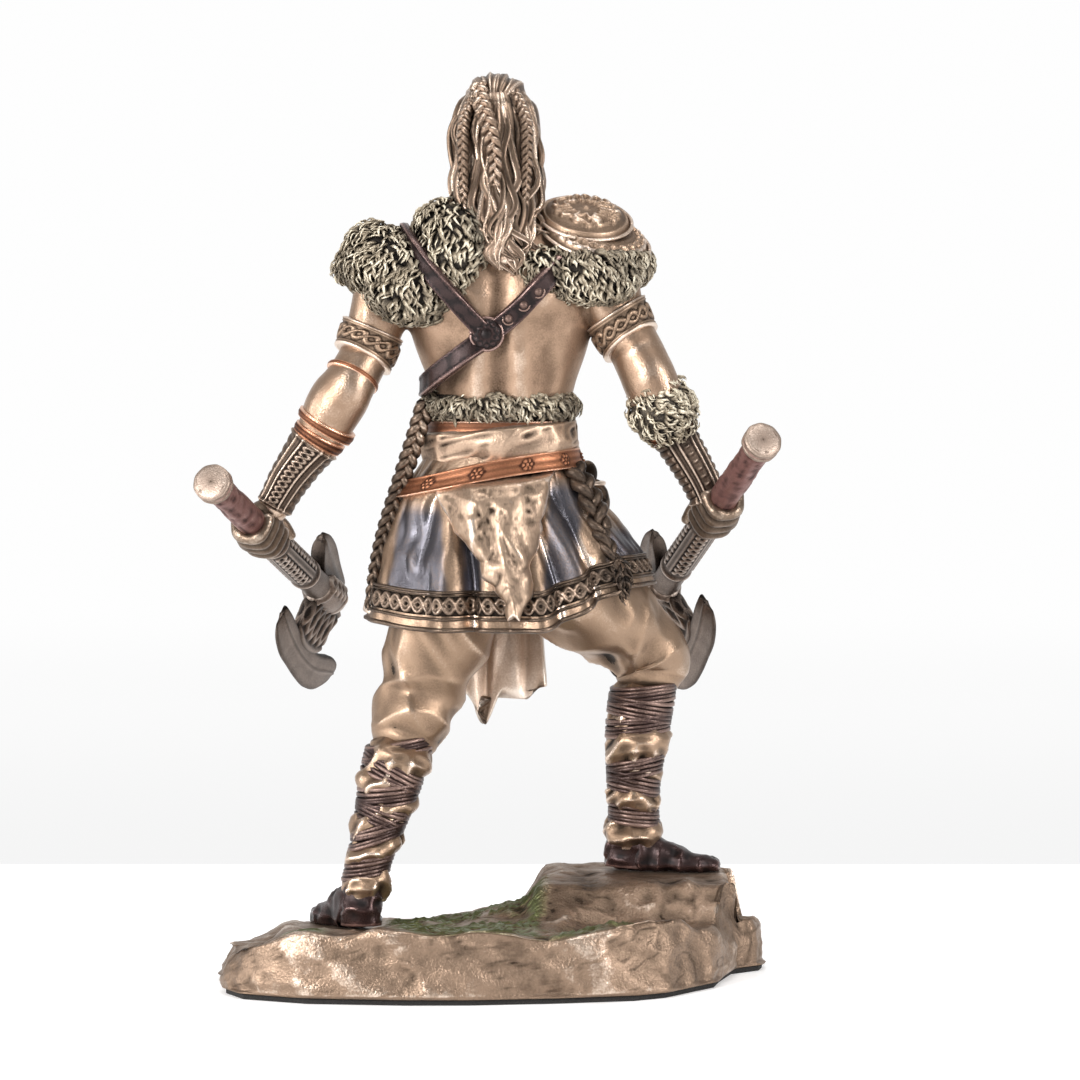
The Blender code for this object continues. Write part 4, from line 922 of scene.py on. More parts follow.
def pauldron_forms():
    """Two overlapping plates, each with a rolled rim and raised interlace."""
    lat = np.concatenate([np.linspace(0.03, 1.6, 62), np.linspace(1.7, math.pi - 0.03, 12)])[:, None]
    lon = angles(150)[None, :]
    r = np.sin(lat) + 0 * lon
    way = xyz(r * np.cos(lon), r * np.sin(lon), np.cos(lat))
    up = smooth(way[..., 2] / 0.15)
    bent = noise(way * 14, 6.0, 29, 1)
    scrolls = knot(lon * 7 / math.pi + 1.3 * bent, (r - 0.52 + 0.1 * bent) / 0.3, 0.2, 0.66)
    scrolls = scrolls * smooth((0.84 - r) / 0.06) * smooth((r - 0.16) / 0.06) + 0.8 * bump(r, 0.07)
    chain = knot(lon * 13 / math.pi, (r - 0.82) / 0.12, 0.28, 0.6) * smooth((0.12 - abs(r - 0.82)) / 0.03)
    for chased, inner, centre, radii, turn in (
        (chain, 0.66, (25.8, -2.2, 170.6), (14.0, 13.8, 3.0), (24, 15, 0)),
        (scrolls, 0.88, (23.2, -1.4, 175.2), (11.8, 11.8, 2.5), (27, 8, 0)),
    ):
        chased = 0.75 * chased + 0.45 * bump(r - 0.9, 0.022) + 0.3 * bump(r - inner, 0.02)
        points = way * np.array(radii)
        points[..., 2] += up * (chased - 1.5 * bump(r - 1, 0.16))
        own = np.where(up > 0.5, 0.85 - 0.8 * chased / 0.75, np.nan)
        plate = close_rings(points @ turned(*turn).T + np.array(centre))
        yield (*plate, np.concatenate([own.ravel(), [0.5, 0.5]]))
        rim = oval((0, 0, -0.5), (radii[0], 0, 0), (0, radii[1], 0), 60)
        yield toned(tube(rim @ turned(*turn).T + np.array(centre), 0.5, 90, 6), 0.45)


def ribbon(path, outs, half, rows, columns, relief):
    """A strip along a path that lies on the body. relief(s, d) raises it: s from -1 to 1
    across, d millimetres along."""
    thick, sink = 0.9, 0.8
    table = spline(np.concatenate([np.array(path, float), np.array(outs, float)], 1), rows)
    centre, out = table[:, :3], unit(table[:, 3:])
    way = unit(np.gradient(centre, axis=0))
    across = unit(np.cross(way, out))
    out = np.cross(across, way)
    s = np.linspace(-1, 1, columns)
    d = np.concatenate([[0], np.cumsum(np.linalg.norm(np.diff(centre, axis=0), axis=1))])
    height = thick * (1 - 0.9 * abs(s) ** 8)[None, :] + relief(s[None, :], d[:, None])
    side = centre[:, None] + across[:, None] * (half * s)[None, :, None]
    top = side + out[:, None] * height[..., None]
    under = side - out[:, None] * sink
    return close_rings(np.concatenate([top, under[:, ::-1]], axis=1))


STRAP_LEFT = [
    (-21, 6, 168.6), (-21.8, -5, 171.4), (-19.4, -12.6, 167.6), (-14.2, -16.6, 160.6),
    (-8, -17.2, 153.4), (-3, -16.2, 148), (-0.8, -15.2, 145.6),
]
STRAP_RIGHT = [
    (17.5, -12.5, 163.5), (13.2, -16.6, 159), (6, -15.6, 151.4), (0, -14.6, 146.4), (-7.4, -15, 141),
    (-13.4, -12.2, 136.4), (-16.6, -6, 133.6), (-16.8, 2, 133), (-13.4, 10, 134.4),
    (-6, 14.4, 139.6), (4, 15.9, 147), (14, 15.8, 156),
]


def strap_relief(s, d):
    rims = 0.45 * bump(abs(s) - 0.84, 0.12)
    stitch = 0.16 * bump(abs(s) - 0.62, 0.08) * smooth(np.sin(d * 5.2) * 2)
    wear = 0.08 * np.sin(d * 1.1 + 2 * s) * np.sin(d * 0.37)
    return rims + stitch + wear


def outs_of(path):
    path = np.array(path, float)
    return (path - np.array([1.8, 0, 0])) * np.array([1, 1, 0])


def strap_forms():
    yield ribbon(STRAP_LEFT, outs_of(STRAP_LEFT) + np.array([0, 0, 3.0]), 2.3, 84, 17, strap_relief)
    yield ribbon(STRAP_RIGHT, outs_of(STRAP_RIGHT), 2.6, 190, 17, strap_relief)


def stud_forms():
    for x, z in ((11.6, 156.6), (8.0, 153.4), (4.3, 150.0)):
        y = -17.7 + (12.6 - x) * 0.17
        yield toned(ball((x, y, z), (1.05, 0.9, 1.05), rings=10, sides=14), 0.55)
        yield toned(tube(oval((x, y + 0.35, z), (1.5, 0, 0), (0, 0, 1.5), 13), 0.24, 26, 6), 0.55)


def medallion_forms():
    def chased(way):
        r, a = np.hypot(way[..., 0], way[..., 2]), np.arctan2(way[..., 2], way[..., 0])
        raised = knot(a * 5 / math.pi, (r - 0.66) / 0.24) - 0.4 * bump(r - 0.3, 0.08) + 0.5 * bump(r, 0.2)
        return 1 + smooth(-way[..., 1] / 0.2) * 0.13 * raised

    yield ball((-1.1, -15.3, 146.2), (3.9, 2.1, 3.9), rings=44, sides=64, bumps=chased)
    yield tube(oval((-1.1, -15.4, 146.2), (3.9, 0, 0), (0, 0, 3.9), 31), 0.5, 48, 6)


def band(limb, middle, half, height, rings, sides, pattern, lean=0.0):
    """A band round a limb; pattern(turn, v) raises it, v from -1 to 1 along the limb."""
    rows = spline(limb, 401)
    heights = np.linspace(middle + half, middle - half, 24)
    chosen = rows[[int(np.argmin(abs(rows[:, 2] - z))) for z in heights]].copy()

    def relief(turn, along, points, outward):
        v = along * 2 - 1
        lift = height * np.clip((1 - abs(v)) * 14, -0.4, 1) + pattern(turn, v)
        points = points + outward * lift[..., None]
        points[..., 2] += lean * np.cos(turn)
        return points

    return loft(chosen, rings, sides, ARM_AIM, dome=0, relief=relief)


def armband_pattern(turn, v):
    rims = 0.4 * bump(abs(v) - 0.9, 0.08) + 0.3 * bump(abs(v) - 0.72, 0.05)
    cords = 0.6 * knot(turn * 14 / TAU, v / 0.62, 0.26, 0.6) * smooth((0.66 - abs(v)) / 0.06)
    return rims + cords


def armband_forms():
    yield band(LEFT_ARM, 143.8, 3.9, 0.7, 30, 230, armband_pattern, lean=-0.9)
    yield band(RIGHT_ARM, 147.6, 3.9, 0.7, 30, 230, armband_pattern, lean=0.9)


def ring_pattern(turn, v):
    return 0.3 * bump(v, 0.5) + 0.1 * np.sin(turn * 3 + 1) + 0.12 * bump(abs(v) - 0.75, 0.15)


def ring_forms():
    yield band(LEFT_ARM, 123.6, 1.25, 0.75, 12, 80, ring_pattern, lean=-0.5)
    yield band(LEFT_ARM, 120.5, 1.2, 0.7, 12, 80, ring_pattern, lean=0.3)
    yield band(LEFT_ARM, 135.6, 0.6, 0.2, 8, 70, ring_pattern, lean=0.4)
    yield band(RIGHT_ARM, 122.6, 1.0, 0.7, 12, 80, ring_pattern, lean=0.5)


def left_bracer(turn, v):
    """A panel of twined cords between ridges on the outer side, plain leather behind."""
    gap = (turn - math.pi * 0.56 + math.pi) % TAU - math.pi
    across = gap / 0.42
    panel = smooth((1.15 - abs(across)) / 0.1) * smooth((0.9 - abs(v)) / 0.06)
    cords = 0.42 * knot((v + 1) * 6.5, across / 0.8)
    rails = 0.5 * bump(abs(across) - 1.0, 0.14) + 0.4 * bump(abs(across) - 1.9, 0.12)
    ends = 0.4 * bump(abs(v) - 0.92, 0.05)
    creases = 0.14 * np.sin(v * 26 + 3 * np.sin(turn * 2)) * smooth((abs(across) - 2.1) / 0.3)
    return panel * cords + rails + ends + creases


def right_bracer(turn, v):
    """Ridges along the arm with rosettes between them; wound cloth on the inner side."""
    gap = (turn - math.pi * 0.42 + math.pi) % TAU - math.pi
    across = gap / 0.36
    rails = 0.5 * bump(abs(across) - 1.0, 0.16) + 0.5 * bump(abs(across) - 2.0, 0.16)
    spot = (v * 4.5) % 1 - 0.5
    rosettes = 0.45 * bump(np.hypot(spot * 0.9, across * 0.42), 0.17) * smooth((1.0 - abs(across)) / 0.2)
    wraps = 0.45 * abs(np.sin(v * 15 + 1.4 * np.sin(turn))) * smooth((abs(across) - 2.3) / 0.4)
    ends = 0.4 * bump(abs(v) - 0.94, 0.05)
    return rails + rosettes + wraps + ends


def bracer_forms():
    yield band(LEFT_ARM, 111.2, 8.4, 0.6, 110, 110, left_bracer)
    yield band(RIGHT_ARM, 113.4, 9.2, 0.6, 110, 110, right_bracer)


# Hands and axes

LEFT_AXE = ((-67.1, -34.0, 110.6), (-44.5, 44.0, 78.5), -1.0, 20.0)
RIGHT_AXE = ((65.8, -32.0, 120.7), (43.2, 44.0, 78.6), 1.0, 28.0)


def axe_frame(axe):
    butt, middle, out, lean = np.array(axe[0]), np.array(axe[1]), axe[2], axe[3]
    way = unit(middle - butt)
    up = unit(np.array([0, 0, 1.0]) - way[2] * way)
    across = np.cross(way, up)
    outward = across if across[0] * out > 0 else -across
    roll = math.radians(lean)
    return butt, middle, way, unit(-up * math.cos(roll) + outward * math.sin(roll)), outward


def blade_sheet(axe, rows, count, relief, marked=False):
    """A flat body in the blade's plane. rows are (along the haft, near edge, far edge, half
    thickness at the near edge, half thickness at the far edge). relief(s, along) raises it: s
    from 0 at the near edge to 1; where it is marked, the raised lines are pale."""
    _, middle, way, down, _ = axe_frame(axe)
    across = np.cross(way, down)
    table = spline(rows, count)
    s = np.linspace(0, 1, 26)
    near, far = table[:, 1:2], table[:, 2:3]
    depth = near + (far - near) * s
    half = table[:, 3:4] + (table[:, 4:5] - table[:, 3:4]) * smooth(s)
    half = half * (0.35 + 0.65 * (1 - abs(np.linspace(-1, 1, count)) ** 10))[:, None]
    half = half * (0.55 + 0.45 * np.minimum(1, np.minimum(s, 1 - s) / 0.06) ** 0.5)
    raised = relief(s[None, :] + 0 * depth, table[:, :1] + 0 * depth)
    half = (half + raised)[..., None]
    base = middle + way * table[:, None, :1] + down * depth[..., None]
    form = close_rings(np.concatenate([base + across * half, (base - across * half)[:, ::-1]], axis=1))
    if not marked:
        return form
    own = 1.0 - 1.7 * raised
    return (*form, np.concatenate([np.concatenate([own, own[:, ::-1]], axis=1).ravel(), [0.6, 0.6]]))


def haft_rings(axe, z, a, r):
    """Rings of radius r at z along the haft's line and angle a round it."""
    butt, _, way, down, _ = axe_frame(axe)
    circle = down * np.cos(a)[..., None] + np.cross(way, down) * np.sin(a)[..., None]
    return butt + way * z[..., None] + circle * r[..., None]


def haft_forms(ends):
    """The haft up to its metal sleeve: a plain leather grip behind the hand."""
    z = np.linspace(0, math.dist(*ends[:2]) - 8, 96)[:, None]
    a = angles(28)[None, :]
    r = np.interp(z, (0, 2.8, 3.4, 14, 17), (4.4, 4.5, 3.5, 3.45, 3.6)) + 0 * a
    r = r + 0.14 * noise(xyz(a * 3.4, z, 0), 2.0, 121) + 0.06 * np.sin(a * 7 + 0.25 * z)
    yield close_rings(haft_rings(ends, z, a, r))


def sleeve_forms(ends):
    """The chased metal sleeve before the head, with its collars."""
    length = math.dist(*ends[:2])
    z = np.linspace(40, length + 6, 126)[:, None]
    a = angles(60)[None, :]
    ribs = abs(np.cos(a * 2))
    r = 3.75 + 0.7 * smooth(((z - 40) / (length - 34) - 0.72) / 0.2) + 0 * a
    collars = 0.9 * bump(z - 42.5, 1.3) + 0.5 * bump(z - 46.4, 0.6) + 0.55 * bump(z - (length - 16), 0.7)
    inside = smooth((z - 48) / 1.0) * smooth((length - 18 - z) / 1.0)
    panels = 0.5 * knot((z - 48) / 2.4, np.cos(a * 2) * 1.1, 0.3, 0.6) * smooth((0.8 - ribs) / 0.1)
    r = r + collars + inside * (panels + 0.25 * bump(ribs - 0.93, 0.06))
    yield close_rings(haft_rings(ends, z, a, r))


def pommel_forms(ends):
    """The worn end cap and the collars of a haft."""
    z = np.linspace(-0.5, 3.2, 22)[:, None]
    a = angles(48)[None, :]
    r = 4.65 - 0.9 * smooth((-0.1 - z) / 0.4) - 0.45 * bump(z - 1.4, 0.35) - 0.5 * smooth((z - 2.6) / 0.6)
    yield close_rings(haft_rings(ends, z, a, r + 0.05 * np.sin(9 * a)))
    spot = np.linspace(0, 1, 16)[:, None] + 0 * a
    dents = 0.12 * noise(xyz(spot * np.cos(a) * 4, spot * np.sin(a) * 4, 0), 1.4, 122)
    face = haft_rings(ends, 0.35 * bump(spot - 0.45, 0.3) - dents - 0.5, a, 3.9 * spot)
    back = haft_rings(ends, np.zeros((2, 1)), a, np.array([[3.9], [0.1]]))
    yield close_rings(np.concatenate([face, back]))


def head_forms(ends):
    _, middle, way, down, _ = axe_frame(ends)
    thick, edge = 1.8, 0.75
    crescent = [
        (-17.8, 10, 15.6), (-14.6, 10.6, 18), (-8.5, 12, 20.6), (0, 13.8, 22), (8, 14.2, 23),
        (15, 13.4, 23.2), (21, 12, 21.8), (25.6, 12.6, 18.6), (27.6, 14.4, 16.6),
    ]

    def bevel(s, along):
        return 0.25 * bump(s - 0.42, 0.05) - 0.15 * smooth((s - 0.45) / 0.4)

    yield blade_sheet(ends, [(*row, thick * 0.8, edge) for row in crescent], 76, bevel)

    def tracery(s, along):
        inside = smooth((0.42 - abs(s - 0.5)) / 0.06)
        cords = knot(along / 3.4 + 0.3, (s - 0.5) * 2.4, 0.2)
        return 0.55 * np.maximum(inside * cords, ridge(abs(s - 0.5) - 0.42, 0.05))

    neck = [(-6, 2, 13), (-3, 1, 15), (3, 1, 16), (9, 1, 15), (12, 2, 13)]
    yield blade_sheet(ends, [(*row, thick * 1.25, thick * 0.8) for row in neck], 64, tracery, marked=True)
    horn = [(-17, -11.6, -9.2), (-13.6, -12.2, -5.4), (-8, -11.6, -2), (0, -8.6, -1), (9, -5.6, -1)]
    yield blade_sheet(ends, [(*row, edge * 1.3, thick * 1.2) for row in horn], 44,
                      lambda s, along: 0.3 * bump(s - 0.5, 0.14))

    def chased(turn, along, points, outward):
        rims = 0.4 * bump(along - 0.12, 0.05) + 0.4 * bump(along - 0.88, 0.05)
        rise = 0.5 * knot(along * 5, 1.2 * np.sin(1.5 * turn), 0.3) + rims
        return points + outward * (rise - 0.4)[..., None]

    boss = [(*(middle + way * k), r, r) for k, r in ((-6, 4.4), (-3, 5.0), (3, 5.2), (6, 4.4))]
    yield loft(boss, 36, 56, aim=down, dome=0.4, relief=chased)


def fist_forms(ends, wrist, share):
    butt, middle, way, _, outward = axe_frame(ends)
    grip = butt + (middle - butt) * share
    up = np.cross(outward, way)
    up = up if up[2] > 0 else -up
    wrist = np.array(wrist)
    knuckles = grip + outward * 3.0 - up * 1.0 + way * 2
    back = (wrist + knuckles) / 2 + outward * 0.2 + up * 1.4
    finish = knuckles - up * 2.4
    palm = [(*wrist, 4.4, 3.8), (*back, 4.8, 3.4), (*knuckles, 4.9, 2.8), (*finish, 4.4, 2.2)]
    yield loft(palm, 40, 30, aim=way)
    a = np.radians(np.linspace(28, -196, 15))[:, None]
    curl = outward * np.cos(a) * 4.2 + up * np.sin(a) * 4.6
    joints = 1 + 0.12 * np.cos(np.linspace(0, 6 * math.pi, 15))
    for k, size in enumerate((1.75, 1.8, 1.75, 1.55)):
        yield tube(grip + way * (6.6 - 3.5 * k) + curl, size * joints, 50, 16)
        yield ball(grip + way * (6.4 - 3.4 * k) + outward * 3.6 + up * 2.6, (1.7, 1.7, 1.5))
    a = np.radians(np.linspace(60, 160, 4))[:, None]
    thumb = grip + outward * np.cos(a) * 4.8 + up * np.sin(a) * 5 + way * np.array([[4], [7], [10], [13]])
    yield tube(thumb, (2, 1.9, 1.7, 1.4), 30, 16)


# Kilt, belts and hanging cloth

KILT_FOLDS = [
    (-68, 9, 1.4), (-52, 11, 0.9), (-27, 6, 2.6), (-16, 3.4, -3.6), (13, 5, 2.0), (22.5, 3.2, -2.0),
    (31, 5, 1.9), (39, 3.6, -1.5), (46, 5, 1.7), (62, 8, 0.9), (84, 9, 0.8), (110, 9, 1.6),
    (128, 7, -1.4), (146, 9, 1.6), (214, 9, 1.6), (232, 7, -1.4), (250, 9, 1.6), (270, 9, 0.8),
]


def kilt_hem(sine):
    return 73.2 + 10.6 * smooth((sine * 36 - 6) / 26) + 1.6 * smooth((-sine - 0.6) / 0.4)


def kilt_point(angle, down, outset=0.0):
    """A point of the kilt: angle from the middle of the back towards +X, down from 0 to 1."""
    sine, cosine = np.sin(angle), np.cos(angle)
    a = np.interp(down, (0, 0.15, 0.3, 0.52, 0.75, 1), (17.6, 20.4, 24, 28.6, 33, 35.6)) + outset
    b = np.interp(down, (0, 0.15, 0.3, 0.52, 0.75, 1), (13, 15.2, 17.4, 20, 22.2, 24)) + outset
    cx = np.interp(down, (0, 0.3, 0.52, 0.75, 1), (2, 0.2, 2.1, 3.9, 4.6))
    rise = 0
    for degrees, width, height in KILT_FOLDS:
        gap = (np.degrees(angle) - degrees + 180) % 360 - 180
        rise = rise + height * bump(gap, width)
    rise = rise * smooth((down - 0.08) / 0.75)
    z = 118 + (kilt_hem(sine) - 118) * down
    return xyz(cx + (a + rise) * sine, 2 - (b + rise) * cosine, z)


def kilt_wrinkles(angle, down):
    """Long soft pulls that fan out from the belt, as a rise over the folds."""
    spot = xyz(angle * 24 + 5 * np.sin(down * 3), down * 16, 0)
    streaks = xyz(angle * 30, down * 7 + 2 * np.sin(angle * 9), 0)
    pulls = 0.8 * noise(spot, 4.2, 61) + 0.5 * crest(spot, 6.0, 62) + 0.55 * crest(streaks, 3.4, 63, 1)
    return pulls * smooth(down / 0.2) * (1 - 0.75 * smooth((down - 0.72) / 0.1))


KILT_ROWS = 62
KILT_COLUMNS = 340


def kilt_forms():
    angle, down = np.meshgrid(angles(KILT_COLUMNS), np.linspace(0, 1, KILT_ROWS))
    outer = kilt_point(angle, down, kilt_wrinkles(angle, down) - 0.1)
    under = [kilt_point(angle[:1], down[-1:], -inset)[0] + np.array([0, 0, up])
             for inset, up in ((2.4, 0.0), (3.4, 4.0), (14, 5.0))]
    yield close_rings(np.concatenate([outer, np.array(under)]))


def border_forms():
    """The knotwork band between two ridges, and the hem's roll."""
    count = 960
    walk = kilt_point(angles(count), np.full(count, 0.87))
    step = np.linalg.norm(np.roll(walk, -1, axis=0) - walk, axis=1)
    distance = np.concatenate([[0], np.cumsum(step)[:-1]])
    crossings = 2 * round(distance[-1] / 6.6)
    angle, v = np.meshgrid(angles(count), np.linspace(-1, 1, 21))
    u = distance[None, :] / (distance[-1] + step[-1]) * crossings + 0 * v
    twined = np.maximum(knot(u, v, 0.22, 0.64), 0.85 * knot(2 * u + 0.5, v, 0.13, 0.26))
    height = 0.05 + 0.8 * twined * (abs(v) < 0.95)
    height = np.where(abs(v) > 0.97, -0.8, height)
    form = close_rings(kilt_point(angle, 0.855 + 0.06 * v, height))
    yield (*form, np.concatenate([(1.05 - 1.1 * height).ravel(), [0.9, 0.9]]))
    turn = np.linspace(0, TAU, 361)
    for share, size, rise in ((0.988, 0.6, 0.0), (0.928, 0.4, 0.35), (0.782, 0.4, 0.35), (0.8, 0.22, 0.4)):
        yield toned(tube(kilt_point(turn, np.full(361, share), rise), size, 300, 6), 0.62)


def hoop(rows, columns, half, a, b, middle_z, slope, relief):
    """A belt round the waist. relief(turn, v) raises it; its height leans by slope."""
    turn, v = np.meshgrid(angles(columns), np.linspace(-1, 1, rows))
    lift = np.clip((1 - abs(v)) * 9, -0.6, 1) + relief(turn, v)
    x, y = 2 + (a + lift) * np.cos(turn), 2 + (b + lift) * np.sin(turn)
    return close_rings(xyz(x, y, middle_z + half * v + slope * (x - 2)))


def belt_forms():
    def plain(turn, v):
        return 0.25 * bump(abs(v) - 0.8, 0.1) + 0.12 * np.sin(3 * turn) - 0.1 * bump(v, 0.2)

    def studded(turn, v):
        spot = (turn * 11 / TAU) % 1 - 0.5
        r = np.hypot(spot * 9.0, v * 2.1)
        a = np.arctan2(v * 2.1, spot * 9.0)
        rosette = 0.6 * bump(r - 0.75, 0.28) * (0.6 + 0.4 * np.cos(6 * a)) + 0.7 * bump(r, 0.3)
        return plain(turn, v) + rosette

    yield hoop(12, 170, 1.9, 17.4, 12.9, 123.0, 0.0, plain)
    # The lower belt lies on the kilt
    angle, v = np.meshgrid(angles(400), np.linspace(-1, 1, 26))
    x = 20 * np.sin(angle)
    z = 112.9 + 0.2 * x - 0.0035 * x**2 + 2.6 * v
    lift = 2.0 * np.clip((1 - abs(v)) * 9, -0.9, 1) + studded(angle + 0.5, v)
    yield close_rings(kilt_point(angle, (118 - z) / (118 - kilt_hem(np.sin(angle))), lift))


def sash_forms():
    """Wound cloth between the belts, pulled into slanting crumpled folds."""
    def wound(turn, v):
        spot = xyz(turn * 8.5, v * 6.4 - 2.6 * turn, 0)
        waves = 0.7 * np.sin(v * 3.2 + 1.4 * np.sin(turn + 1.2) + 0.6)
        return 1.7 * crest(spot, 6.2, 71, 1, 0.42) + waves + 0.5 * crest(spot, 2.4, 72, 1)

    yield hoop(46, 270, 6.6, 18.2, 13.6, 116.8, 0.1, wound)


def hide_forms():
    """The pointed hide that hangs from under the lower belt."""
    edges = np.array([(114, -14.5, 16), (106, -12.6, 14.4), (101, -9.6, 12.4), (96, -5.6, 10.8),
                      (88.5, -0.6, 9.4), (80.6, 3.4, 8.2), (77.2, 5.2, 7.0)])

    def hide(s, t):
        top = 109.6 + 3.6 * s
        z = top - (top - 77.2) * t
        left, right = (np.interp(-z, -edges[:, 0], edges[:, k]) for k in (1, 2))
        torn = noise(xyz(s * 8, t * 46, 0), 5.0, 81)
        x = left + (right - left) * s + 1.7 * torn * (2 * s - 1) ** 2 * smooth(t / 0.1)
        down = np.maximum(114 - z, 0) / 36.8
        y = -14.4 - 10.4 * down**0.8 - 2.2 * np.cos((s - 0.5) * 3) * smooth(t / 0.2)
        # Folds from long to fine, the tuck under the belt and the rolled edges
        y = y - 1.1 * crest(xyz(x + 0.15 * z, z * 0.28, 0), 6.5, 82, 1) * smooth(t / 0.12)
        y = y - 0.5 * np.sin(x * 0.6 + 0.1 * z + 0.8)
        y = y - 0.6 * crest(xyz(x + 0.4 * z, z * 0.5, 0), 4.2, 83) * smooth((t - 0.05) / 0.2)
        y = y - 0.22 * crest(xyz(x, z, 0), 3.0, 84) + 3.4 * smooth((0.09 - t) / 0.07) + 1.6 * (2 * s - 1) ** 8
        # The waist's curve
        half = np.interp(down, (0, 0.3, 1), (19, 25, 34))
        y = y + 0.6 * half * (1 - np.sqrt(np.maximum(1 - ((x - 2) / half) ** 2, 0.05)))
        return xyz(x, y, z - 0.8 * t * np.cos(9 * s))

    yield slab(hide, 1.3, 108, 60)


def rope_forms():
    """The dark plait that hangs from the waist along the kilt's edge."""
    yield from braid([(-16.4, -4.5, 129), (-18.8, -4.6, 121), (-21.4, -4.2, 113), (-24.4, -3.8, 104),
                      (-27.2, -3.2, 95), (-29.4, -2.8, 86), (-30.8, -2.4, 77.6)], 2.1, 6, 0.55, rings=150)


def side_forms():
    """A cloth at the left hip, the pouch at the right one and the belt's clasp."""
    def creased(turn, along, points, outward):
        return points + outward * (0.35 * noise(points, 3.0, 85))[..., None]

    def rosette(way):
        a, r = np.arctan2(way[..., 2], way[..., 0]), np.hypot(way[..., 0], way[..., 2])
        return 1 + 0.12 * knot(a * 5 / math.pi, (r - 0.7) / 0.2)

    yield loft([(-22.6, 2, 108, 2.4, 4.4), (-25, 2, 96, 2.4, 5), (-27.8, 2, 84, 2.6, 5.4),
                (-29.8, 2, 76.6, 2.6, 5.6)], 46, 30, dome=0.3, relief=creased)
    yield ball((24.8, 17, 103), (5, 5, 6.6), (0, 0, 20), 30, 40, lambda way: 1 + 0.04 * noise(way * 9, 3, 86))
    yield ball((24, 17.4, 110.6), (2.6, 3, 3.4), rings=18, sides=24)
    yield tube(oval((24.8, 17, 108.2), (3.4, 0, 0), (0, 3.6, 0), 21), 0.6, 60, 8)
    yield ball((2, 17, 122.6), (4.2, 2, 3.4), rings=28, sides=40, bumps=rosette)


def tabard_forms():
    """The front cloth, seen between the legs: soft pleats that end in a pointed hem."""
    def front(s, t):
        hem = 56 - 9.8 * bump(s - 0.4, 0.12) - 3.4 * bump(s - 0.8, 0.1) - 1.6 * bump(s - 0.12, 0.1)
        x = -12.8 + 26.4 * s + (0.5 - s) * 9 * (1 - t)
        pleats = (1.1 * np.sin(15 * s + 0.8) + 0.3 * np.sin(31 * s + 2)) * (1 - 0.5 * t**3)
        y = 16.5 + 11 * smooth(t * 1.5) - 6.5 * smooth((t - 0.5) * 2) + pleats
        y = y + 0.4 * noise(xyz(s * 26, t * 18, 0), 4.5, 87)
        return xyz(x, y, 112 + (hem - 112) * t)

    yield slab(front, 1.6, 70, 84)


# Legs

LEFT_THIGH = [
    (-8, 1, 92, 12, 12), (-12, 1, 78, 12.8, 12.6), (-15, 1.5, 66, 12.4, 12), (-18.2, 2, 55.6, 10.4, 10.6),
    (-20.6, 0.6, 49.4, 10.2, 10.2), (-22.2, -0.5, 44.2, 8.6, 8.8),
]
LEFT_SHIN = [
    (-21.4, 0.5, 50, 7.6, 7.8), (-23.2, -2.4, 43, 8.1, 8.2), (-24.8, -6, 36.6, 7.9, 8.2),
    (-26.6, -8.6, 29, 7, 7.4), (-28.8, -11.2, 21.4, 5.9, 6.4), (-30.8, -13.2, 14, 5.4, 5.8),
    (-31.6, -13.8, 9.4, 5.4, 5.9), (-31.9, -14, 6.4, 4.0, 4.6),
]
RIGHT_THIGH = [
    (10, 2, 92, 13, 13), (17, 5, 84, 13, 12.6), (25.5, 12, 76.6, 12, 12), (34, 19, 70.4, 10.8, 11),
    (39, 23, 65.4, 10.2, 10.6), (40, 23.8, 60.4, 9.6, 10), (39.7, 23.3, 57.2, 8.5, 8.7),
]
RIGHT_SHIN = [
    (39.4, 23.4, 62, 7.8, 7.8), (38.4, 22, 55, 8.2, 8.2), (37.3, 20.4, 48, 8.1, 8.2),
    (36.6, 19.6, 41, 7.6, 7.6), (36, 19.5, 32, 6.6, 6.8), (36, 19.8, 23, 6.2, 6.4), (36, 20, 18.4, 6.6, 6.8),
    (36, 20, 14.6, 4.6, 4.8),
]
# The groups of cords round each shin: (height, slant)
LEFT_GROUPS = [(42.6, 0.2), (37.2, -0.46), (31.8, 0.12), (27.0, -0.36), (22.6, 0.3), (14.6, 0.14)]
RIGHT_GROUPS = [(54.2, 0.12), (50.4, -0.2), (46.4, 0.14), (35.8, 0.2), (31.4, -0.2), (23.4, -0.1)]


def slack(turn, along, points, outward):
    """Slack cloth: long sharp folds down the thigh that gather into rolls above the knee."""
    x, y, z = np.moveaxis(points, -1, 0)
    spot = xyz(x + z * 0.5, y, z * 0.28)
    pulls = 0.6 * noise(spot, 9.0, 91, 1)
    pulls = pulls + 3.0 * crest(spot, 12.0, 96, 1, 0.36) + 0.8 * crest(spot, 5.5, 99, 1)
    waves = 25 * along + 4.4 * np.sin(turn + 0.5) + 1.2 * noise(points, 9.0, 95, 1)
    rolls = (0.8 - 1.2 * abs(np.sin(waves / 2))) * smooth((along - 0.5) / 0.2)
    ends = 1 - smooth((along - 0.95) / 0.05)
    rise = (pulls * (1 - 0.6 * smooth((along - 0.6) / 0.2)) + rolls) * ends - 0.2
    return points + outward * rise[..., None]


THIGH_SIDES = 80


def leg_forms():
    """The thighs; the last seven rings, where they tuck into the wraps, are painted dark as shade."""
    for stations, rings, aim in ((LEFT_THIGH, 100, (1, 0, 0)), (RIGHT_THIGH, 104, (0.4, 0, 0.9))):
        form = loft(stations, rings, THIGH_SIDES, aim=aim, relief=slack)
        own = np.full(len(form[0]), np.nan)
        # Painted shade on the tucked rings and the end cap.
        own[-(7 * THIGH_SIDES + 2):-2] = 0.75
        own[-1] = 0.75
        yield (*form, own)


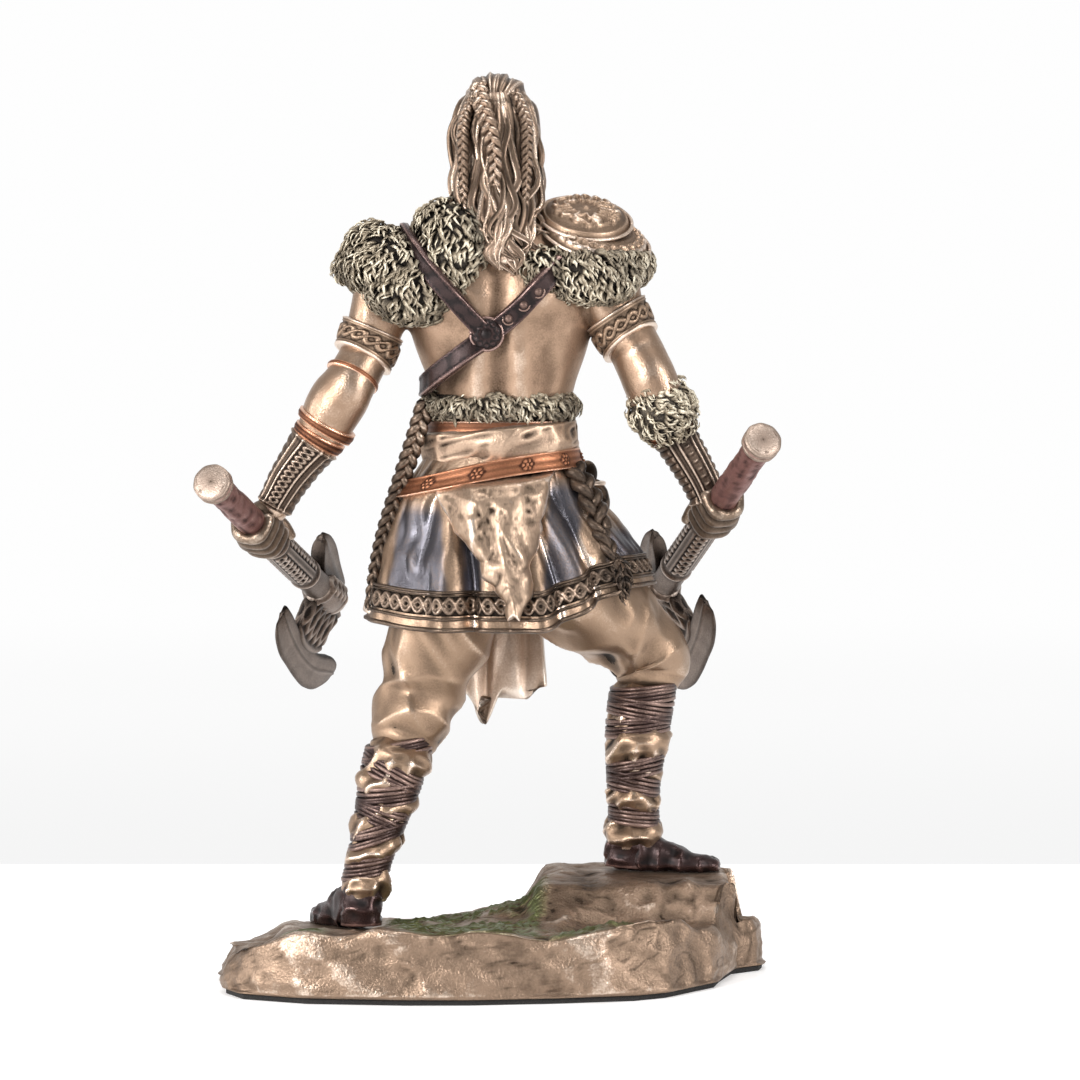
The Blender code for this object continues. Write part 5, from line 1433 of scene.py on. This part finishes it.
def shin_forms():
    for shin, groups, top in ((LEFT_SHIN, LEFT_GROUPS, 42.5), (RIGHT_SHIN, RIGHT_GROUPS, 54.0)):
        def swelling(turn, along, points, outward, groups=groups, top=top):
            z = points[..., 2]
            squeeze = 0
            for height, slope in groups:
                squeeze = squeeze + bump(z - height - slope * 7 * np.cos(turn), 2.7)
            spot = xyz(turn * 7, z * 0.8 - 3 * np.sin(turn), 0)
            folds = 1.6 * crest(spot, 4.6, 93, 1) + 0.8 * crest(spot * np.array([0.5, 1.3, 1]), 2.6, 98, 1)
            tuck = 3.4 * smooth((z - top) / 5)
            return points + outward * (0.9 - 1.6 * np.clip(squeeze, 0, 1) + folds - tuck)[..., None]

        yield loft(shin, 112, 64, dome=0, relief=swelling)


def cord_forms():
    random = np.random.default_rng(9)
    for shin, groups in ((LEFT_SHIN, LEFT_GROUPS), (RIGHT_SHIN, RIGHT_GROUPS)):
        rows = spline(shin, 400)
        for height, slope in groups:
            for k in range(5):
                z = height + 1.0 * (k - 2) + random.uniform(-0.2, 0.2)
                lean = slope * random.uniform(0.75, 1.25)
                spots = []
                for t in np.linspace(0, TAU, 49):
                    cosine, sine = math.cos(t), math.sin(t)
                    at = z + lean * 7 * cosine
                    row = rows[int(np.argmin(abs(rows[:, 2] - at)))]
                    spots.append((row[0] + (row[3] - 0.15) * cosine, row[1] - (row[4] - 0.15) * sine, at))
                yield tube(spots, 0.7 * random.uniform(0.85, 1.1), 46, 6)


def sole_z(x, y):
    """The height of the rock under a sole: the step, or the slope under the left foot."""
    return np.where(x > 0, STEP, -0.08 * (y + 19.5))


def foot(heel, toe):
    heel, toe = np.array(heel), np.array(toe)
    stations = []
    for share, width, height in (
        (0.1, 3.6, 6), (0.16, 4.7, 9.6), (0.32, 4.9, 10), (0.5, 4.8, 7.4), (0.7, 5.2, 5.2),
        (0.88, 4.4, 3.8), (0.97, 3, 2.8),
    ):
        middle = heel + (toe - heel) * share + np.array([0, 0, height / 2 - 0.8])
        stations.append((*middle, width, height / 2 + 0.8))

    def creased(turn, along, points, outward):
        rise = 1.1 * crest(points * np.array([1, 1, 0.8]), 5.0, 94, level=0.36)
        welt = 0.35 * bump(points[..., 2] - heel[2] - 1.4, 0.5)
        return points + outward * (rise + welt)[..., None]

    aim = unit(np.cross(toe - heel, (0, 0, 1)))
    points, *faces = loft(stations, 60, 48, aim=aim, square=0.8, relief=creased)
    points[:, 2] = np.maximum(points[:, 2], sole_z(points[:, 0], points[:, 1]))
    return points, *faces


def shoe_forms():
    yield foot((-31.0, -19.5, 0.0), (-44.0, 8.0, -2.2))
    yield foot((28.5, 20.5, STEP), (57.5, 17.0, STEP))

    def creased(turn, along, points, outward):
        return points + outward * (0.9 * crest(points * np.array([0.6, 0.6, 1.2]), 4.0, 97))[..., None]

    # The shoes' collars
    for collar in (
        [(-32.2, -15.8, 0.4, 5.0, 5.4), (-32.2, -15.6, 4, 5.0, 5.6), (-31.8, -14.8, 8, 4.8, 5.2),
         (-31.6, -14.2, 10.2, 4.5, 5.0)],
        [(35, 20, STEP + 0.6, 6.4, 5.0), (35.2, 20, STEP + 4, 6.2, 5.2), (35.8, 20, STEP + 8, 5.6, 5.4),
         (36, 20, STEP + 10, 5.4, 5.4)],
    ):
        yield loft(collar, 24, 40, dome=0, square=0.85, relief=creased)


# The rock, in millimetres over the table

ROCK_EDGE = [
    (-0.961, -0.556), (-0.889, -0.77), (-0.657, -0.936), (-0.314, -1), (-0.079, -1), (0.233, -0.936),
    (0.509, -0.837), (0.621, -0.73), (0.723, -0.52), (0.803, -0.363), (0.829, -0.16), (0.879, 0.123),
    (0.984, 0.26), (1, 0.383), (0.964, 0.63), (0.85, 0.85), (0.664, 0.975), (0.421, 1), (0.179, 0.9),
    (0.007, 0.728), (-0.207, 0.617), (-0.464, 0.58), (-0.693, 0.52), (-0.879, 0.395), (-0.983, 0.185),
    (-1, -0.06), (-0.957, -0.26),
]
ROCK_HALF = np.array([70.0, 40.5])
SEAT_Z = 14.0  # the shelf under the left heel
FOOT_Z = 1.5  # the rock's foot, on the pad


def rock_top(x, y):
    rough = smooth((np.hypot((x + 37.5) / 13, (y + 5.75) / 20) - 1) / 0.4)
    shelf = (SEAT_Z + sole_z(-1.0, y)) * (1 - smooth((x + 12) / 24)) + (SEAT_Z + 0.4) * smooth((x + 12) / 24)
    rim = 1.3 * smooth((-y - 33) / 8) + 3.4 * smooth((x - 18) / 22) * smooth((-y - 24) / 8)
    end = -5.5 * smooth((-x - 42) / 26)
    mound = 2.4 * np.exp(-(((x - 3) / 13) ** 2) - ((y - 4) / 12) ** 2)
    lumps = 0.7 * np.sin(x * 0.23 + 1) * np.cos(y * 0.29) + 0.4 * np.sin(x * 0.31 - y * 0.2)
    ground = shelf + rough * (rim + mound + end + lumps)
    carry = smooth((x - 6) / 8) * smooth((y + 15) / 12) * smooth((61.6 - x) / 2.6)
    lobe = SEAT_Z - 1.2 + 0.6 * np.sin(y * 0.7) - 0.12 * np.maximum(y - 4, 0)
    ground = np.where(x > 60, lobe, ground)
    return ground + carry * (SEAT_Z + STEP - ground)


def scallops(points, seeds, curve):
    """Shallow dents that meet in sharp crests, as a chisel leaves them: 0 at a dent's bottom."""
    found = np.empty(len(points))
    for start in range(0, len(points), 4000):
        gap = points[start:start + 4000, None] - seeds[None, :, :3]
        found[start:start + 4000] = ((gap**2).sum(2) * curve + seeds[None, :, 3]).min(1)
    return found


def rock_seeds(rings, count, seed, depth):
    random = np.random.default_rng(seed)
    flat = rings.reshape(-1, 3)
    spots = flat[random.choice(len(flat), count, replace=False)]
    return np.column_stack([spots, random.uniform(0, depth, count)])


def moss_amount(points):
    """Where moss grows: between the feet, behind the left shoe and before the step."""
    x, y = points[..., 0] - MIDDLE[0], points[..., 1] - MIDDLE[1]
    total = 0
    for x0, x1, y0, y1 in ((-29, 15, -46, 18), (8, 30, -42, -9), (-54, -38, -44, -13), (22, 49, -19, -8)):
        inside = smooth((x - x0) / 5) * smooth((x1 - x) / 5) * smooth((y - y0) / 6) * smooth((y1 - y) / 6)
        total = np.maximum(total, inside)
    spots = noise(points, 7.0, 101) * 0.7 + noise(points, 2.2, 102) * 0.4
    return total * smooth((spots + 0.5) / 0.5)


def rock_form():
    turns = np.array(ROCK_EDGE) * ROCK_HALF
    nexts = np.roll(turns, -1, axis=0)
    shares = (np.arange(12) / 12)[None, :, None]
    edge = (turns[:, None] + (nexts - turns)[:, None] * shares).reshape(-1, 2)
    for _ in range(3):
        edge = (np.roll(edge, 1, axis=0) + 2 * edge + np.roll(edge, -1, axis=0)) / 4
    middle = MIDDLE[:2]
    rings = []
    for height in np.linspace(0, 1, 34):
        share = np.interp(height, (0, 0.2, 0.5, 0.82, 0.95, 1.0), (0.985, 0.994, 0.989, 0.974, 0.962, 0.95))
        place = middle + edge * share
        top = rock_top(*(middle + edge * share * 0.97).T)
        rings.append(np.column_stack([place, FOOT_Z + height * (top - FOOT_Z)]))
    side_count = len(rings)
    for share in np.linspace(0.944, 0.01, 50):
        place = middle + edge * share
        rings.append(np.column_stack([place, rock_top(*place.T)]))
    rings = np.array(rings)
    shape = rings.shape[:2]
    flat = rings.reshape(-1, 3)

    # Dents on the side, lumps and grains on the top
    lean = flat + flat[:, 2:] * np.array([0.5, 0, 0])
    steep = lean * np.array([1, 1, 1.3])
    on_side = side_count * shape[1]
    big = scallops(steep, rock_seeds(steep[:on_side], 46, 7, 1.6), 0.018)
    small = scallops(lean, rock_seeds(lean[:on_side], 330, 8, 0.5), 0.07)
    dents = (np.clip(big, 0, 2.6) + np.clip(small, 0, 1.2) * 0.8 - 2.9).reshape(shape)
    rise = np.linspace(0, 1, side_count)[:, None]
    side = np.zeros(shape)
    side[:side_count] = smooth(rise / 0.06) * smooth((1.12 - rise) / 0.12)
    x, z = rings[..., 0] - MIDDLE[0], rings[..., 2]
    bare = smooth((16 - abs(x)) / 3) * (rings[..., 1] < 0) * smooth((10 - z) / 2)
    side = side * (1 - 0.45 * bare)
    grain = 0.3 * noise(flat * np.array([1, 1, 0.6]), 4.0, 103) + 0.14 * noise(flat, 1.3, 104)
    grain = (grain + 0.7 * crest(flat * np.array([1, 1, 1.5]), 7.5, 108, 1)).reshape(shape)
    outward = unit(np.column_stack([edge / ROCK_HALF**2, np.zeros(len(edge))]))[None]
    rings = rings + outward * (side * (dents + grain * 0.6))[..., None]

    top = np.zeros(shape)
    top[side_count - 4:] = smooth(np.arange(len(rings) - side_count + 4) / 6)[:, None]
    px, py = rings[..., 0], rings[..., 1]
    left_foot = smooth((np.hypot((px + 37.5) / 9.5, (py + 5.75) / 17.5) - 1) / 0.3)
    right_foot = smooth((np.hypot((px - 43) / 18, (py - 18.8) / 8) - 1) / 0.3)
    free = top * np.minimum(left_foot, right_foot)
    mossy = moss_amount(rings) * smooth((np.arange(len(rings)) - side_count + 1) / 3)[:, None]
    tufty = abs(noise(flat * np.array([0.5, 1, 1]), 1.1, 105)).reshape(shape)
    stone = 1.1 * grain + 1.3 * crest(flat, 11.0, 107, level=0.36).reshape(shape)
    rings[..., 2] += free * ((1 - mossy) * stone + mossy * (1.1 * tufty + 0.1))
    rings[-1] = rings[-1].mean(0)
    # Crests pale, dents brown and thin cracks dark; the moss is left to its own relief
    cracks = bump(noise(flat * np.array([1, 1, 1.4]), 9.0, 109), 0.05).reshape(shape)
    low = np.arange(len(rings))[:, None] < side_count
    rough = np.where(low, 0.6 - 0.34 * ((dents + 2.9) / 3.5) ** 1.6, 0.54 - 0.45 * stone)
    rough = rough + 0.5 * cracks - 0.1 * noise(flat, 2.0, 110).reshape(shape)
    rough = np.where(mossy > 0.3, np.nan, rough)
    rough[:2] = 0.85
    return (*close_rings(rings), np.concatenate([rough.ravel(), [0.85, 0.5]])), mossy


# All pieces

fused("skin", skin_forms(), 0.84, SKIN, skin_carve, close=0.0, gain=0.45)
piece("hair", hair_forms(), HAIR, crowded=0.7)
piece("braids", braid_forms(), HAIR, crowded=0.6)
piece("beard", beard_forms(), HAIR, crowded=0.7)
piece("eyelids", face_forms(), SKIN)
piece("fur_mantle", fur_forms(), FUR_LOOK, crowded=0.8)
piece("fur_trims", trim_forms(), FUR_LOOK, crowded=0.8)
piece("tail", tail_forms(), TAIL_LOOK, crowded=0.7)
piece("shoulder_plates", pauldron_forms(), BRONZE)
piece("straps", strap_forms(), STRAP_LOOK)
piece("strap_studs", stud_forms(), STUD_LOOK)
piece("medallion", medallion_forms(), STRAP_LOOK)
piece("armbands", armband_forms(), BRONZE)
piece("arm_rings", ring_forms(), COPPER)
piece("bracers", bracer_forms(), DARK_BRONZE)
for side, ends, arm, share in (("left", LEFT_AXE, LEFT_ARM, 0.385), ("right", RIGHT_AXE, RIGHT_ARM, 0.41)):
    fused(side + "_hand", fist_forms(ends, arm[-1][:3], share), 0.55, HAND_LOOK, relax=3, gain=0.7)
    piece(side + "_haft", haft_forms(ends), HAFT)
    piece(side + "_haft_end", pommel_forms(ends), PALE_METAL)
    piece(side + "_sleeve", sleeve_forms(ends), STEEL)
    piece(side + "_axe_head", head_forms(ends), STEEL, gain=0.7)
kilt = piece("kilt", kilt_forms(), CLOTH)
piece("kilt_border", border_forms(), BORDER_LOOK, close=0.7)
piece("belts", belt_forms(), COPPER)
piece("sash", sash_forms(), PALE_CLOTH)
piece("hide", hide_forms(), HIDE_LOOK)
piece("plaits", rope_forms(), TAIL_LOOK, crowded=0.5)
piece("side_pieces", side_forms(), BRONZE)
piece("tabard", tabard_forms(), TABARD_PAINTED_LIGHT, gain=0.5)
piece("trousers", leg_forms(), PLAIN_CLOTH, close=0.2, gain=0.75)
piece("leg_wraps", shin_forms(), WRAP_LOOK)
piece("leg_cords", cord_forms(), CORD, crowded=0.6)
piece("shoes", shoe_forms(), SHOE)
rock_mesh, mossy = rock_form()
rock = piece("rock", [rock_mesh], STONE, slot="bronze_rock", figure=False, close=0.7)
set_relief()
mark(rock.data, "moss", np.concatenate([mossy.ravel(), [0, mossy[-1].mean()]]))


def panel_amount(points):
    """Where the kilt is painted blue grey. The rows are (behind or not, left and right edges at
    the top and at the border, and the highest point), in millimetres."""
    x, y, z = points[:, 0], points[:, 1], points[:, 2]
    total = np.zeros(len(points))
    for back, x0, x1, x2, x3, top in (
        (1, -21.5, -12.6, -26.5, -10, 106), (1, -8, -2.4, -7.6, -1.4, 100), (1, 13.4, 22.6, 12.2, 23, 112),
        (1, 27.5, 34, 27.4, 46, 101), (0, -24, -14, -30, -14, 108), (0, 12, 20, 14, 30, 108),
    ):
        t = np.clip((112 - z) / 30, 0, 1)
        wobble = 0.7 * noise(points, 5.0, 111)
        inside = smooth((x - x0 - (x2 - x0) * t + wobble) / 1.6) * smooth((top - z) / 5)
        inside = inside * smooth((x1 + (x3 - x1) * t - x + wobble) / 1.6) * ((y < 2) == bool(back))
        total = np.maximum(total, inside)
    return total


spots = unplaced(read(kilt.data)[0])
spread = np.ones(len(spots))
spread[:KILT_ROWS * KILT_COLUMNS] = np.repeat(np.linspace(0, 1, KILT_ROWS), KILT_COLUMNS)
mark(kilt.data, "panel", panel_amount(spots) * smooth((0.8 - spread) / 0.02))

for node in ("viking_figure", "rock_base"):
    for o in PIECES:
        if (o is rock) == (node == "rock_base"):
            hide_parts(node)


def felt_look():
    made, nodes, links, shader, place = new_material("felt_weave")
    fibres = speckle(nodes, links, place, 0.25, 5.0, (1, 1, 3))
    tones = [(0.3, (0.006, 0.006, 0.006)), (0.75, (0.045, 0.042, 0.04))]
    colour = ramp(nodes, links, fibres, tones, colour=True)
    links.new(colour, shader.inputs["Base Color"])
    shader.inputs["Roughness"].default_value = 0.95
    raise_surface(nodes, links, shader, fibres, 0.2 * MM)
    return made


bpy.data.objects["felt_pad"].material_slots[0].material = felt_look()


# Stage

TABLE_END = 0.195
FLOOR_REACH = 4


def floor_look():
    """Matt white near the statue; past the table's end it takes the backdrop's even tone."""
    made, nodes, links, shader, place = new_material("floor_white")
    grain = speckle(nodes, links, place, 1.5, 3.0)
    links.new(ramp(nodes, links, grain, [(0.3, 0.86), (0.7, 0.89)]), shader.inputs["Base Color"])
    shader.inputs["Roughness"].default_value = 0.5
    glow = nodes.new("ShaderNodeEmission")
    glow.inputs["Strength"].default_value = 1.0
    split = nodes.new("ShaderNodeSeparateXYZ")
    links.new(place, split.inputs[0])
    beyond = maths(nodes, links, "SUBTRACT", split.outputs[1], TABLE_END)
    links.new(ramp(nodes, links, beyond, [(0.0, 0.915), (0.5, 0.96), (1.0, 0.99)]), glow.inputs["Color"])
    past = maths(nodes, links, "MULTIPLY", beyond, 400)
    blend = nodes.new("ShaderNodeMixShader")
    links.new(maths(nodes, links, "MINIMUM", maths(nodes, links, "MAXIMUM", past, 0.0), 1.0), blend.inputs[0])
    shader.inputs["Emission Color"].default_value = (1, 1, 1, 1)
    shader.inputs["Emission Strength"].default_value = 0.3
    links.new(shader.outputs[0], blend.inputs[1])
    links.new(glow.outputs[0], blend.inputs[2])
    links.new(blend.outputs[0], nodes["Material Output"].inputs[0])
    return made


floor_mesh = bpy.data.meshes.new("floor")
corner_signs = ((-1, -1), (1, -1), (1, 1), (-1, 1))
floor_mesh.from_pydata([(x * FLOOR_REACH, y * FLOOR_REACH, 0) for x, y in corner_signs], [], [(0, 1, 2, 3)])
floor_mesh.materials.append(floor_look())
floor = linked("floor", floor_mesh)

bpy.context.scene.view_settings.view_transform = "Standard"


def studio():
    """A white backdrop to the eye; the light that it gives is bright behind and above the
    statue and dim on the near side."""
    made = bpy.data.worlds.new("studio")
    made.use_nodes = True
    nodes, links = made.node_tree.nodes, made.node_tree.links
    seen = nodes["Background"]
    seen.inputs[0].default_value = (0.99, 0.99, 0.99, 1)
    given = nodes.new("ShaderNodeBackground")
    split = nodes.new("ShaderNodeSeparateXYZ")
    links.new(nodes.new("ShaderNodeTexCoord").outputs["Generated"], split.inputs[0])
    facing = maths(nodes, links, "MULTIPLY_ADD", split.outputs[1], 0.5, 0.5)
    links.new(ramp(nodes, links, facing, [(0.1, 0.22), (0.5, 0.32), (0.95, 0.8)]), given.inputs[0])
    blend = nodes.new("ShaderNodeMixShader")
    links.new(nodes.new("ShaderNodeLightPath").outputs["Is Camera Ray"], blend.inputs[0])
    links.new(given.outputs[0], blend.inputs[1])
    links.new(seen.outputs[0], blend.inputs[2])
    links.new(blend.outputs[0], nodes["World Output"].inputs[0])
    return made


bpy.context.scene.world = studio()


def area_light(name, place, aim, size, power):
    lamp = bpy.data.lights.new(name, "AREA")
    lamp.shape = "RECTANGLE"
    lamp.size, lamp.size_y = size
    lamp.energy = power
    made = linked(name, lamp)
    made.location = place
    way = np.array(aim, float) - np.array(place, float)
    flat = math.hypot(way[0], way[1])
    made.rotation_euler = (math.atan2(flat, -way[2]), 0, math.atan2(-way[0], way[1]))


area_light("key", (-0.75, -0.9, 0.45), (0, 0, 0.11), (0.35, 0.45), 12)
area_light("side", (-1.0, -0.2, 0.3), (0, 0, 0.12), (0.3, 0.6), 4)
area_light("fill", (0.9, -0.65, 0.45), (0, 0, 0.11), (0.3, 0.5), 8)
area_light("top", (0.1, -0.1, 1.1), (0, 0, 0.1), (0.6, 0.6), 5)

CAMERA_PITCH = 3.372  # degrees down
lens = bpy.data.cameras.new("photo_camera")
lens.lens = 126.886
lens.sensor_width = 36
lens.clip_start = 0.01
camera = linked("photo_camera", lens)
camera.location = (0.0115, -0.9425, 0.165)
camera.rotation_euler = (math.radians(90 - CAMERA_PITCH), 0, 0)
bpy.context.scene.camera = camera
